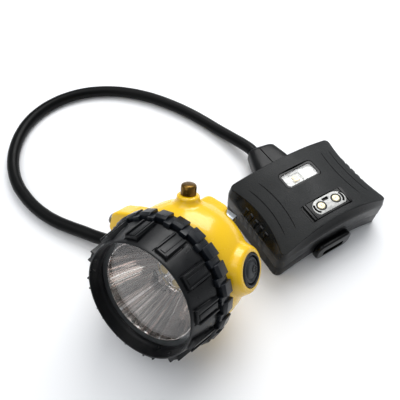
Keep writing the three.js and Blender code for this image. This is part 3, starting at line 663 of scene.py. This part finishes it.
def makeReflector():
    o = optics
    bowl = turned("reflectorBowl", bowlProfile(), 336, streaked())
    finishPiece(bowl, headPlace, "rays", "body", ["reflector"], sharp=40)

    dish = -o["dishDepth"]
    cup = turned("ledCups", softened([(2.5, dish - 0.1), (2.7, dish + 0.45), (3.3, dish + 0.35),
                                      (3.5, dish - 0.1)], 0.12), 32)
    cup.data.transform(Matrix.Translation((0, o["ledRing"], 0)))
    repeat(cup, "chrome", count=o["leds"], firstAngle=math.radians(o["ledTurn"]),
           angleStep=fullTurn / o["leds"])
    finishPiece(cup, headPlace, None, "body")


def makeLeds():
    o = optics
    top = -o["dishDepth"] + 0.02
    chip = turned("sideLeds", [(0, top - 2.2), (2.5, top - 2.2), (2.5, top), (2.1, top + 0.35),
                               (1.2, top + 0.6), (0, top + 0.7)], 28)
    chip.data.transform(Matrix.Translation((0, o["ledRing"], 0)))
    repeat(chip, "phosphor", count=o["leds"], firstAngle=math.radians(o["ledTurn"]),
           angleStep=fullTurn / o["leds"])
    finishPiece(chip, headPlace, None, "body",
                [f"side_led_{i + 1}" for i in range(o["leds"])])
    dome = turned("mainLed", [(0, top - 2.2), (4.2, top - 2.2), (4.2, top), (3.6, top + 0.9),
                              (2.2, top + 1.6), (0, top + 1.9)], 40)
    finishPiece(dome, headPlace, "phosphor", "body", ["main_led"])


makeLens()
makeReflector()
makeLeds()
print("optics made")


# Headpiece housing

housing = {
    "back": 54, "neckBack": 23, "neckFront": 11.2, "neckRadius": 28.5, "bore": 26.6, "boreDepth": 40,
    "leanMost": 6, "leanTurn": -20, "bossDepth": 36, "postTurn": 14.8, "buttonTurn": -58,
    "contactTurn": 90, "hookTurn": -4,
    "voxel": 0.5, "melt": 14,  # how fine the shapes are fused, and how softly they run together
    "glandRoot": Vector((-27, -13.6, -40)), "glandWay": Vector((-0.937, -0.277, 0.109)).normalized(),
}


def lean(piece):
    # the drum's middle line leans away from the beam axis towards the top
    turn = math.radians(housing["leanTurn"])
    for vertex in piece.data.vertices:
        past = max(0, -vertex.co.z - housing["neckBack"])
        shift = housing["leanMost"] * (1 - math.exp(-past / 12))
        vertex.co.x -= shift * math.sin(turn)
        vertex.co.y += shift * math.cos(turn)


def standing(piece, turnDegrees, depth):
    # like radialPlace, but it stays in the headpiece's own frame
    stand = Matrix.Rotation(math.radians(turnDegrees), 4, "Z") @ Matrix.Rotation(-math.pi / 2, 4, "X")
    piece.data.transform(Matrix.Translation((0, 0, -depth)) @ stand)
    return piece


def alongGland(piece):
    turn = Vector((0, 0, 1)).rotation_difference(housing["glandWay"]).to_matrix().to_4x4()
    piece.data.transform(Matrix.Translation(housing["glandRoot"]) @ turn)
    return piece


def makeHousing():
    h = housing
    drumLine = [(0, -h["back"]), (15.5, -h["back"]), (19, -53.2), (23.4, -51), (27.2, -48), (30, -44),
                (32.2, -37), (32.8, -30), (32.6, -26), (32.2, -h["neckBack"] + 0.2),
                (0, -h["neckBack"] + 0.2)]
    drum = turned("drum", softened(drumLine, 2.5, 4, closed=False), 128)
    lean(drum)
    postLine = [(0, 24), (9.6, 24), (8.4, 31.5), (7.4, 34.2), (6.2, 35.8), (5.6, 36.8), (5.5, 37.6),
                (5.7, 38.3), (5.3, 39), (4.4, 39.3), (0, 39.3)]
    post = standing(turned("postBoss", postLine, 64), h["postTurn"], h["bossDepth"])
    buttonLine = [(0, 20), (17.5, 20), (15.4, 28), (13.2, 32.5), (11.9, 35.2), (11.2, 36.8), (10.4, 37.7),
                  (9.4, 37.9), (0, 37.9)]
    button = standing(turned("buttonBoss", buttonLine, 80), h["buttonTurn"], h["bossDepth"] + 1)
    wedge = [(-18, 14), (-28.5, 15.2), (-36, 12), (-43.5, 7.9), (-46.2, 5.2), (-46.2, -4.2), (-44.4, -6),
             (-24, -6), (-18, -6)]
    contact = extruded("contactBoss", wedge, -h["bossDepth"] - 6, -h["bossDepth"] + 6, 1.2, 4)
    lobe = standing(extruded("rearLobe", roundedOutline(13.5, 9, 3.2), 24, 34.6, 1.5, 4), 0, 46.5)
    stub = alongGland(turned("glandStub", [(0, -6), (7.4, -6), (7.4, 3.6), (6.8, 4.2), (0, 4.2)], 64))
    shell = joined("lampHousing", [drum, post, button, contact, lobe, stub])
    modify(shell, "REMESH", mode="VOXEL", voxel_size=h["voxel"], adaptivity=0)
    modify(shell, "SMOOTH", factor=0.5, iterations=h["melt"])
    bake(shell)
    neck = turned("neck", [(0, -h["neckBack"] - 4), (h["neckRadius"], -h["neckBack"] - 4),
                           (h["neckRadius"], -h["neckFront"] - 0.4), (h["neckRadius"] - 0.4, -h["neckFront"]),
                           (0, -h["neckFront"])], 96)
    modify(shell, "BOOLEAN", operation="UNION", solver="EXACT", object=neck)
    bake(shell)
    bpy.data.objects.remove(neck)
    bore = turned("bore", [(0, -h["boreDepth"]), (h["bore"], -h["boreDepth"]), (h["bore"], 0), (0, 0)], 96)
    well = standing(turned("well", [(0, 33.5), (8.5, 33.5), (8.5, 42), (0, 42)], 64), h["buttonTurn"],
                    h["bossDepth"] + 1)
    cut(shell, bore, well)
    finishPiece(shell, headPlace, "yellow", "body", ["lamp_housing"], sharp=50)


def helix(name, radius, height, width, start, turns, pitch):
    # a raised thread that tapers into the neck at both ends
    perTurn = 48
    steps = int(perTurn * turns)
    points = []
    faces = []
    for i in range(steps + 1):
        angle = -fullTurn * i / perTurn
        z = start - pitch * i / perTurn
        rise = height * min(1, min(i, steps - i) / 8 + 0.05)
        for r, dz in ((radius - 0.3, -width / 2), (radius + rise, -width / 4), (radius + rise, width / 4),
                      (radius - 0.3, width / 2)):
            points.append((r * math.cos(angle), r * math.sin(angle), z + dz))
        if i:
            for k in range(4):
                a, b = 4 * (i - 1) + k, 4 * (i - 1) + (k + 1) % 4
                faces.append((a, b, b + 4, a + 4))
    faces += [(0, 1, 2, 3), tuple(4 * steps + k for k in range(4))]
    return newPiece(name, points, faces)


makeHousing()
neckThread = helix("neckThread", housing["neckRadius"], 0.9, 1.1, -13, 2.2, 3)
finishPiece(neckThread, headPlace, "yellow", "body")
print("housing made")


# Switch

switch = {"capRadius": 6.4, "collarInner": 6.8, "collarOuter": 8.2, "markRadius": 1.6, "markWidth": 0.5}


def powerMark():
    # the usual sign for power: an open ring with a short bar through the gap
    s = switch
    low, high = 37.75, 38.6  # it stands just proud of the cap's crown
    outline = []
    half = s["markWidth"] / 2
    for radius, order in ((s["markRadius"] + half, 1), (s["markRadius"] - half, -1)):
        sweep = [math.radians(125 + 290 * k / 30) for k in range(31)][::order]
        outline += [(radius * math.cos(a), radius * math.sin(a)) for a in sweep]
    ring = extruded("ring", outline, low, high)
    bar = extruded("bar", roundedOutline(s["markWidth"], 1.7, 0.2, (0, 1.35)), low, high)
    mark = joined("powerMark", [ring, bar])
    mark.data.transform(Matrix.Translation((0.4, 2, 0)) @ Matrix.Rotation(math.radians(-25), 4, "Z"))
    return mark


def makeSwitch():
    place = radialPlace(housing["buttonTurn"], housing["bossDepth"] + 1)
    inner, outer, edge = switch["collarInner"], switch["collarOuter"], switch["capRadius"]
    ring = [(inner, 33.7), (outer, 33.7), (outer + 0.1, 37.7), (outer - 0.7, 38.5), (inner + 0.1, 38.4)]
    collar = turned("switchCollar", softened(ring, 0.4), 72)
    finishPiece(collar, place, "rubber", "body", ["button_collar"])
    cap = [(0, 34.7), (edge, 34.7), (edge, 37.4), (edge - 0.5, 37.9), (edge - 1.1, 37.9),
           (edge - 1.5, 37.3), (edge - 1.9, 37.4), (edge - 2.4, 37.9), (3, 38.2), (1.5, 38.28), (0, 38.3)]
    button = turned("switchCap", softened(cap, 0.3, 3, closed=False), 72)
    finishPiece(button, place, "cap", "switch", ["switch_button"])
    finishPiece(powerMark(), place, "band", "switch")


makeSwitch()
print("switch made")


# Contacts, hook and gland

def makeContacts():
    post = [(0, 36), (3.75, 36), (3.75, 43), (3.6, 43.9), (3.1, 44.4), (2, 44.7), (0, 44.8)]
    finishPiece(turned("chargePost", softened(post, 0.35, 3, closed=False), 64),
                radialPlace(housing["postTurn"], housing["bossDepth"]), "brass", "body",
                ["charge_post"])
    tip = [(0, 40), (2, 40), (2, 46.4), (3.3, 46.4), (3.3, 47.3), (2.5, 48), (1.2, 48.35), (0, 48.4)]
    finishPiece(turned("sideContact", softened(tip, 0.3, 3, closed=False), 48),
                radialPlace(housing["contactTurn"], housing["bossDepth"] - 2), "nickel", "body",
                ["side_contact"])


hook = {"near": 54.3, "gap": 4.6, "steel": 1.2, "top": 26.6, "width": 14, "bend": 1.6}


def makeHook():
    # drawn from the side: x is the depth, y the height over the beam axis
    k = hook
    far = k["near"] + k["steel"] + k["gap"]
    inner = k["top"] - k["steel"]
    outside = [(k["near"], 8), (k["near"], k["top"]), (far + k["steel"], k["top"]), (far + k["steel"], 2),
               (far + 1.5 + k["steel"], -1.2)]
    inside = [(far + 1.5, -1.2), (far, 2), (far, inner), (k["near"] + k["steel"], inner),
              (k["near"] + k["steel"], 8)]
    line = softened(outside, 2.6, 6, closed=False) + softened(inside, k["bend"], 6, closed=False)
    strip = extruded("rearHook", line, -k["width"] / 2, k["width"] / 2, 0.25, 2)
    strip.data.transform(Matrix.Rotation(math.radians(housing["hookTurn"]), 4, "Z")
                         @ Matrix.Rotation(math.pi / 2, 4, "Y"))
    finishPiece(strip, headPlace, "steel", "body", ["rear_hook"])


def makeGland():
    nut = extruded("glandNut", [(6.9 * math.cos(fullTurn * i / 6), 6.9 * math.sin(fullTurn * i / 6))
                                for i in range(6)], 4.5, 9, 0.5)
    finishPiece(alongGland(nut), headPlace, "rubber", "body")
    boot = [(0, -3.6), (4.2, -3.6), (4.2, 8), (5.7, 8.4), (5.6, 10.5), (5.2, 12), (4.6, 20), (4.3, 22.8),
            (3.95, 23.4), (0, 23.4)]
    finishPiece(alongGland(turned("glandBoot", softened(boot, 0.4, 3, closed=False), 64)), headPlace,
                "rubber", "body", ["head_gland"])
    ribLine = softened([(4.2, 11.6), (5.75, 11.8), (5.7, 12.8), (4.2, 13)], 0.3)
    rib = alongGland(turned("glandRibs", ribLine, 48))
    repeat(rib, "rubber", count=4, step=housing["glandWay"] * 2.4)
    finishPiece(rib, headPlace, None, "body")


makeContacts()
makeHook()
makeGland()
print("contacts, hook and gland made")


# Battery pack

pack = {
    "length": 75.4, "width": 54, "thick": 23.2, "arch": 8.7, "seam": 9.5, "wall": 2, "corner": 4,
    "bevel": 5, "endInset": 4.5, "sideInset": 2.4, "capRings": 22,
    "window": (24, 12), "windowSpot": (0, 9.2), "port": (28.4, 11.4), "portSpot": (0.2, -14.6),
    "grooves": (20.6, 27.2), "grooveReach": 17.3, "grooveBow": 2.1,
    "ribs": 5, "ribPitch": 4.6, "ribStart": -8.9,
}


def archAt(x):
    return pack["arch"] * max(0, 1 - (2 * x / pack["length"]) ** 2)


def packOutline(margin, drawIn):
    # boundary of the pack in order, drawn in at the middle of each side by drawIn
    p = pack
    w, d = p["length"] / 2 - margin, p["width"] / 2 - margin
    corner = p["corner"] - margin * 0.6
    points = []
    for sx, sy, start, along in ((1, 1, 0, "x"), (-1, 1, 90, "y"), (-1, -1, 180, "x"), (1, -1, 270, "y")):
        for step in range(9):
            angle = math.radians(start + 90 * step / 8)
            points.append((sx * (w - corner) + corner * math.cos(angle),
                           sy * (d - corner) + corner * math.sin(angle)))
        reach = (w if along == "x" else d) - corner
        count = 44 if along == "x" else 32
        for step in range(1, count):
            t = 1 - 2 * step / count
            points.append((sx * reach * t, sy * d) if along == "x" else (sx * w, sy * reach * t))
    result = []
    for x, y in points:
        u, v = min(1, abs(x) / w), min(1, abs(y) / d)
        x -= x * (2 * p["endInset"] / p["length"]) * (1 - v * v) * drawIn + math.copysign(0.5 * drawIn, x)
        y -= y * (2 * p["sideInset"] / p["width"]) * (1 - u * u) * drawIn + math.copysign(0.5 * drawIn, y)
        result.append((x, y))
    return result


def packSolid(name, levels, margin):
    # levels: (z, how far drawn in), from the bottom to the top; both ends are closed by shrinking rings
    caps = [1 - k / pack["capRings"] for k in range(1, pack["capRings"])]
    rings = [(levels[0], scale) for scale in caps[::-1]]
    rings += [(level, 1) for level in levels]
    rings += [(levels[-1], scale) for scale in caps]
    points = []
    for (z, drawIn), scale in rings:
        for x, y in packOutline(margin, drawIn):
            points.append((x * scale, y * scale, z + archAt(x * scale)))
    count = len(points) // len(rings)
    bottom = len(points)
    points += [(0, 0, levels[0][0] + pack["arch"]), (0, 0, levels[-1][0] + pack["arch"])]
    faces = []
    for k in range(len(rings) - 1):
        for i in range(count):
            j = (i + 1) % count
            faces.append((k * count + i, k * count + j, (k + 1) * count + j, (k + 1) * count + i))
    last = (len(rings) - 1) * count
    faces += [(i, (i + 1) % count, bottom) for i in range(count)]
    faces += [(last + i, last + (i + 1) % count, bottom + 1) for i in range(count)]
    return newPiece(name, points, faces)


def grooveBar(x, side):
    # a thin bar that follows a bowed line across the top face, used as a cutter
    p = pack
    steps = 24
    points = []
    faces = []
    for i in range(steps + 1):
        t = 2 * i / steps - 1
        bowed = side * (x + p["grooveBow"] * t * t)
        taper = 0.32 * math.sqrt(max(0.02, 1 - t ** 6))
        top = p["thick"] + archAt(bowed)
        for dx, dz in ((-taper, 1), (taper, 1), (taper * 0.5, -0.55), (-taper * 0.5, -0.55)):
            points.append((bowed + dx, t * p["grooveReach"], top + dz))
        if i:
            for k in range(4):
                a, b = 4 * (i - 1) + k, 4 * (i - 1) + (k + 1) % 4
                faces.append((a, b, b + 4, a + 4))
    faces += [(0, 1, 2, 3), tuple(4 * steps + k for k in range(4))]
    return newPiece("grooveBar", points, faces)


def makeUpperShell():
    p = pack
    bevelLow = p["thick"] - p["bevel"]
    levels = [(p["seam"] + 0.15, 0), (p["seam"] + 0.5, -0.06), (bevelLow - 1.2, -0.04), (bevelLow - 0.3, 0),
              (bevelLow + 0.3, 0.08), (bevelLow + 1.6, 0.36), (p["thick"] - 1.4, 0.8),
              (p["thick"] - 0.45, 0.97), (p["thick"] - 0.1, 1.04), (p["thick"], 1.12)]
    shell = packSolid("packTop", levels, 0)
    inside = packSolid("inside", [(p["seam"] - 3, 0), (p["thick"] - p["wall"] - p["bevel"], 0),
                                  (p["thick"] - p["wall"], 0.9)], p["wall"] + 0.3)
    window = extruded("windowHole", roundedOutline(*p["window"], 2.6, p["windowSpot"]), 15, 40)
    port = extruded("portHole", roundedOutline(*p["port"], 1.6, p["portSpot"]), 15, 40)
    cut(shell, inside, window, port)
    for x in p["grooves"]:
        for side in (-1, 1):
            cut(shell, grooveBar(x, side))
    mesh = shell.data
    mesh.materials.clear()
    for finish in ("wall", "band", "spark"):
        mesh.materials.append(finishes[finish])
    for face in mesh.polygons:  # the grained skin lies on the top face, the polished band round it
        x, y, z = face.center
        height = z - archAt(x)
        steep = face.normal.z < 0.9
        onTop = height > p["thick"] - 0.16 or (height > p["thick"] - 1 and not steep)
        inGroove = height < p["thick"] - 0.02 and onTop and steep
        face.material_index = 1 if inGroove else 2 if onTop else 1 if height > bevelLow - 0.3 else 0
    finishPiece(shell, packPlace, None, "body", ["upper_shell"], sharp=28)


def makeLowerShell():
    p = pack
    shell = packSolid("packBase", [(0, 0.1), (0.5, 0), (p["seam"] - 0.5, 0), (p["seam"] - 0.15, 0.08)], 0.2)
    for vertex in shell.data.vertices:  # the two ends stand level on the table
        vertex.co.z = max(vertex.co.z, 0.6)
    inside = packSolid("inside", [(p["wall"], 0), (p["seam"] + 3, 0)], p["wall"] + 0.3)
    cut(shell, inside)
    finishPiece(shell, packPlace, "wall", "body", ["lower_shell"], sharp=28)


def makeGrips():
    # five ribs run over the edge band and down each short end, with a flat pad below each
    p = pack
    edge = p["length"] / 2
    high = p["thick"]
    fin = [(edge - 0.4, high - 5.6), (edge + 0.35, high - 5.8), (edge + 0.25, high - 4.6),
           (edge - 2.1, high - 0.9), (edge - 3.1, high - 0.6), (edge - 3, high - 2)]
    rib = extruded("gripFins", softened(fin, 0.5), -1.25, 1.25, 0.4)
    rib.data.transform(Matrix(((1, 0, 0, 0), (0, 0, 1, 0), (0, 1, 0, 0), (0, 0, 0, 1))))
    repeat(rib, "band", count=p["ribs"], start=(0, p["ribStart"], 0), step=(0, p["ribPitch"], 0))
    repeat(rib, "band", count=2, angleStep=math.pi)
    finishPiece(rib, packPlace, None, "body", sharp=25)
    pad = block("gripPads", (edge - 1, -1.5, p["seam"] + 0.8), (edge + 0.35, 1.5, high - 6.4), 0.2)
    repeat(pad, "wall", count=p["ribs"], start=(0, p["ribStart"], 0), step=(0, p["ribPitch"], 0))
    repeat(pad, "wall", count=2, angleStep=math.pi)
    finishPiece(pad, packPlace, None, "body", sharp=25)


makeUpperShell()
makeLowerShell()
makeGrips()
print("pack shells made")


# Window

def makeWindow():
    p = pack
    wide, deep = p["window"]
    x, y = p["windowSpot"]
    base = p["thick"] + p["arch"] - 2.6

    def inset(margin, radius):
        return roundedOutline(wide - margin, deep - margin, radius, (x, y))

    frameRing = extruded("windowFrame", inset(0.3, 2.5), base - 1, base + 1.7, 0.3)
    cut(frameRing, extruded("hole", inset(3.1, 1.6), base - 3, base + 4))
    finishPiece(frameRing, packPlace, "band", "body")
    pane = extruded("windowPane", inset(2.5, 1.7), base + 0.3, base + 1.4, 0.25)
    finishPiece(pane, packPlace, "clear", "body", ["window_pane"])
    tray = extruded("windowTray", inset(1.5, 2), base - 3.2, base - 0.3)
    cut(tray, extruded("hole", roundedOutline(7.5, 6.4, 0.8, (x - 2.2, y)), base - 1.5, base + 2))
    finishPiece(tray, packPlace, "white", "body", ["indicator_board"])
    chip = block("indicatorChip", (x - 4, y - 1.7, base - 1.6), (x - 0.5, y + 1.7, base - 0.6), 0.25)
    finishPiece(chip, packPlace, "phosphor", "body", ["indicator_led"])


makeWindow()


# Charging port

port = {"plateSpot": (1.5, -14.2), "pinSpacing": 10, "top": 31.7}


def plateOutline(grow=0.0):
    # straight near edge, bulged ends that round into the far edge
    half, deep = 9.2 + grow, 4.6 + grow
    corners = [(-half, -deep), (half, -deep), (half + 1.6, -1.2), (half + 0.6, 2.4), (half - 2.8, deep),
               (0, deep), (-half + 2.8, deep), (-half - 0.6, 2.4), (-half - 1.6, -1.2)]
    cx, cy = port["plateSpot"]
    return [(x + cx, y + cy) for x, y in softened(corners, 2.2, 5)]


def arcSlot(side):
    cx = port["plateSpot"][0] + side * port["pinSpacing"] / 2
    cy = port["plateSpot"][1]
    middle = 0 if side > 0 else math.pi
    middle -= side * math.radians(10)
    outline = []
    for radius, order in ((4.85, 1), (3.6, -1)):
        sweep = [middle + math.radians(-42 + 84 * k / 10) for k in range(11)][::order]
        outline += [(cx + radius * math.cos(a), cy + radius * math.sin(a)) for a in sweep]
    return extruded("arcSlot", outline, port["top"] - 2, port["top"] + 2)


def makePortBlock():
    # two thin lines are cut across it, and a step down at its end lets a plug's edge in
    wide, deep = pack["port"][0] - 0.6, pack["port"][1] - 0.6
    x, y = pack["portSpot"]
    top = port["top"]
    base = extruded("portBlock", roundedOutline(wide, deep, 1.3, (x, y)), top - 6, top + 0.1, 0.3)
    cut(base, extruded("seat", plateOutline(0.25), top - 1.2, top + 2),
        block("step", (x - wide / 2 - 1, y - 7, top - 1.1), (x - wide / 2 + 1.5, y + 7, top + 2), 0),
        block("line", (x - wide / 2 + 2.6, y - 7, top - 0.5), (x - wide / 2 + 3.2, y + 7, top + 2), 0),
        block("line", (x + wide / 2 - 2.4, y - 7, top - 0.5), (x + wide / 2 - 1.8, y + 7, top + 2), 0))
    finishPiece(base, packPlace, "wall", "body", ["contact_block"], sharp=25)


def makePortContacts():
    top = port["top"]
    cx, cy = port["plateSpot"]
    plate = extruded("contactPlate", plateOutline(), top - 1.1, top + 0.15, 0.12)
    places = [cx + side * port["pinSpacing"] / 2 for side in (-1, 1)]
    holes = [turned("hole", [(0, top - 3), (3, top - 3), (3, top + 2), (0, top + 2)], 48) for _ in places]
    for hole, spot in zip(holes, places):
        hole.data.transform(Matrix.Translation((spot, cy, 0)))
    cut(plate, *holes, arcSlot(-1), arcSlot(1),
        extruded("slot", roundedOutline(4, 1.9, 0.3, (cx - 0.4, cy + 2.7)), top - 2, top + 2))
    finishPiece(plate, packPlace, "nickel", "body", ["contact_plate"], sharp=25)
    pinLine = [(0, top - 1.4), (2.3, top - 1.4), (2.3, top + 0.2), (1.9, top + 0.45), (0.5, top + 0.45),
               (0, top + 0.3)]
    pin = turned("contactPins", softened(pinLine, 0.15, 2, closed=False), 40)
    repeat(pin, "contact", count=2, start=(places[0], cy, 0), step=(port["pinSpacing"], 0, 0))
    finishPiece(pin, packPlace, None, "body", ["contact_pin_1", "contact_pin_2"])
    sleeve = turned("pinSleeves", softened([(2.35, top - 1.2), (2.85, top - 1.2), (2.85, top + 0.2),
                                            (2.35, top + 0.2)], 0.1), 40)
    repeat(sleeve, "band", count=2, start=(places[0], cy, 0), step=(port["pinSpacing"], 0, 0))
    finishPiece(sleeve, packPlace, None, "body", ["pin_sleeve_1", "pin_sleeve_2"])


makePortBlock()
makePortContacts()
print("window and port made")


# Strap loop and cable hood

loop = {"width": 24, "height": 12.4, "thick": 4, "slot": (14.4, 4.6), "low": 3.3, "side": -1.2, "sunk": 0.6}


def makeLoop():
    tab = extruded("strapLoop", roundedOutline(loop["width"], loop["height"], 4.2), 0, loop["thick"], 0.9, 4)
    cut(tab, extruded("slot", roundedOutline(*loop["slot"], 1.4, (0, -1.7)), -1, loop["thick"] + 1),
        block("channel", (-loop["slot"][0] / 2, -7, -1), (loop["slot"][0] / 2, 0.6, 2), 0))
    lift = Matrix.Translation((loop["side"], -pack["width"] / 2 + loop["sunk"],
                               loop["height"] / 2 + loop["low"]))
    tab.data.transform(lift @ Matrix.Rotation(math.pi / 2, 4, "X"))
    finishPiece(tab, packPlace, "band", "body", ["strap_loop"])


hood = {
    "root": 27.3, "tip": 48.6, "rootHalf": (15, 7.4), "tipHalf": (10, 6.5), "rootX": 1.5, "tipX": 3.5,
    "z": 9.2, "slant": 0.16, "grooves": (1, 12.5), "grooveWidth": 0.7,
}


def makeHood():
    # a tapered block with soft edges: superellipse sections from the pack's wall out to the cable
    h = hood
    sections = [(0, 1), (0.12, 1), (0.6, 0.99), (0.88, 0.97), (0.95, 0.93), (0.985, 0.86), (1, 0.76)]
    around = 72
    points = []
    faces = []
    for t, scale in sections:
        halfX = h["rootHalf"][0] + (h["tipHalf"][0] - h["rootHalf"][0]) * min(1, t * 1.15)
        halfZ = h["rootHalf"][1] + (h["tipHalf"][1] - h["rootHalf"][1]) * t
        for i in range(around):
            angle = fullTurn * i / around
            c, s = math.cos(angle), math.sin(angle)
            across = math.copysign(abs(c) ** 0.5, c) * halfX * scale
            points.append((h["rootX"] + (h["tipX"] - h["rootX"]) * t + across,
                           h["root"] + (h["tip"] - h["root"] - h["slant"] * across) * t,
                           h["z"] + math.copysign(abs(s) ** 0.55, s) * halfZ * scale))
    for k in range(len(sections) - 1):
        for i in range(around):
            j = (i + 1) % around
            faces.append((k * around + i, k * around + j, (k + 1) * around + j, (k + 1) * around + i))
    faces += [tuple(range(around)), tuple(range((len(sections) - 1) * around, len(sections) * around))]
    body = newPiece("cableHood", points, faces)
    half = h["grooveWidth"] / 2
    for x in h["grooves"]:
        cut(body, block("groove", (x - half, h["root"] + 3, h["z"] + 5.4),
                        (x + half, h["tip"] - 2, h["z"] + 12), 0))
    finishPiece(body, packPlace, "wall", "body", ["cable_hood"], sharp=40)


makeLoop()
makeHood()
print("loop and hood made")


# Finishes of the pieces that keep their own shape

keptPieces = {
    "rubber": ["neck_seal", "shell_seal"],
    "bezel": ["button_plunger", "micro_switch"],
    "white": ["led_board"],
    "aluminium": ["heat_sink"],
    "board": ["driver_board", "protection_board"],
    "brass": ["post_nut"],
    "nickel": ["side_contact_nut", "port_magnet_1", "port_magnet_2"],
    "steel": ["hook_screw_1", "hook_screw_2"] + [f"pack_screw_{i + 1}" for i in range(4)],
    "foil": ["cell_1", "cell_2"],
    "redWire": ["head_wire_red", "pack_wire_red"],
    "blackWire": ["head_wire_black", "pack_wire_black"],
}
for finish, names in keptPieces.items():
    for name in names:
        mesh = frame["nodes"][name].data
        mesh.materials.clear()
        mesh.materials.append(finishes[finish])
print("kept pieces finished")


# Floor and light

studio = {
    "floor": 1.6,
    "keySpot": (0.12, 0.5, 0.62), "keySize": 0.55, "keyPower": 5.6,
    "topSpot": (-0.3, 0.05, 0.7), "topSize": 0.6, "topPower": 1.8,
    "frontSpot": (-0.6, -0.75, 0.5), "frontSize": 0.6, "frontPower": 1.1,
    "sky": "F4F7FA", "skyFront": "D8DBDF", "skyPower": 0.5,
}


def makeFloor():
    s = studio["floor"]
    mesh = bpy.data.meshes.new("floor")
    mesh.from_pydata([(-s, -s, 0), (s, -s, 0), (s, s, 0), (-s, s, 0)], [], [(0, 1, 2, 3)])
    floor = bpy.data.objects.new("floor", mesh)
    bpy.context.collection.objects.link(floor)
    paper = surface("mattPaper", ("F4F5F7", "F1F2F4"), 60, (0.6, 0.75))
    mesh.materials.append(paper)


def softbox(name, spot, size, power):
    light = bpy.data.lights.new(name, "AREA")
    light.size = size
    light.energy = power
    lamp = bpy.data.objects.new(name, light)
    lamp.location = spot
    lamp.rotation_euler = (Vector((-0.02, 0, 0.02)) - Vector(spot)).to_track_quat("-Z", "Y").to_euler()
    bpy.context.collection.objects.link(lamp)


def makeSky():
    # bright behind and above, darker towards the viewer, so that black and chrome show their form
    world = bpy.data.worlds.new("studioSky")
    world.use_nodes = True
    bpy.context.scene.world = world
    tree = world.node_tree
    way = addNode(tree, "ShaderNodeTexCoord").outputs["Generated"]
    parts = addNode(tree, "ShaderNodeSeparateXYZ", {0: way})
    blend = addNode(tree, "ShaderNodeMapRange", {"Value": parts.outputs["Y"], "From Min": -0.9,
                                                 "From Max": 0.1})
    mix = addNode(tree, "ShaderNodeMix", {"Factor": blend.outputs[0]}, data_type="RGBA")
    mix.inputs[6].default_value = linear(studio["skyFront"])
    mix.inputs[7].default_value = linear(studio["sky"])
    tree.links.new(mix.outputs[2], tree.nodes["Background"].inputs["Color"])
    tree.nodes["Background"].inputs["Strength"].default_value = studio["skyPower"]


makeFloor()
makeSky()
for part in ("key", "top", "front"):
    softbox(part + "Light", studio[part + "Spot"], studio[part + "Size"], studio[part + "Power"])
bpy.context.scene.view_settings.view_transform = "Standard"
print("studio made")
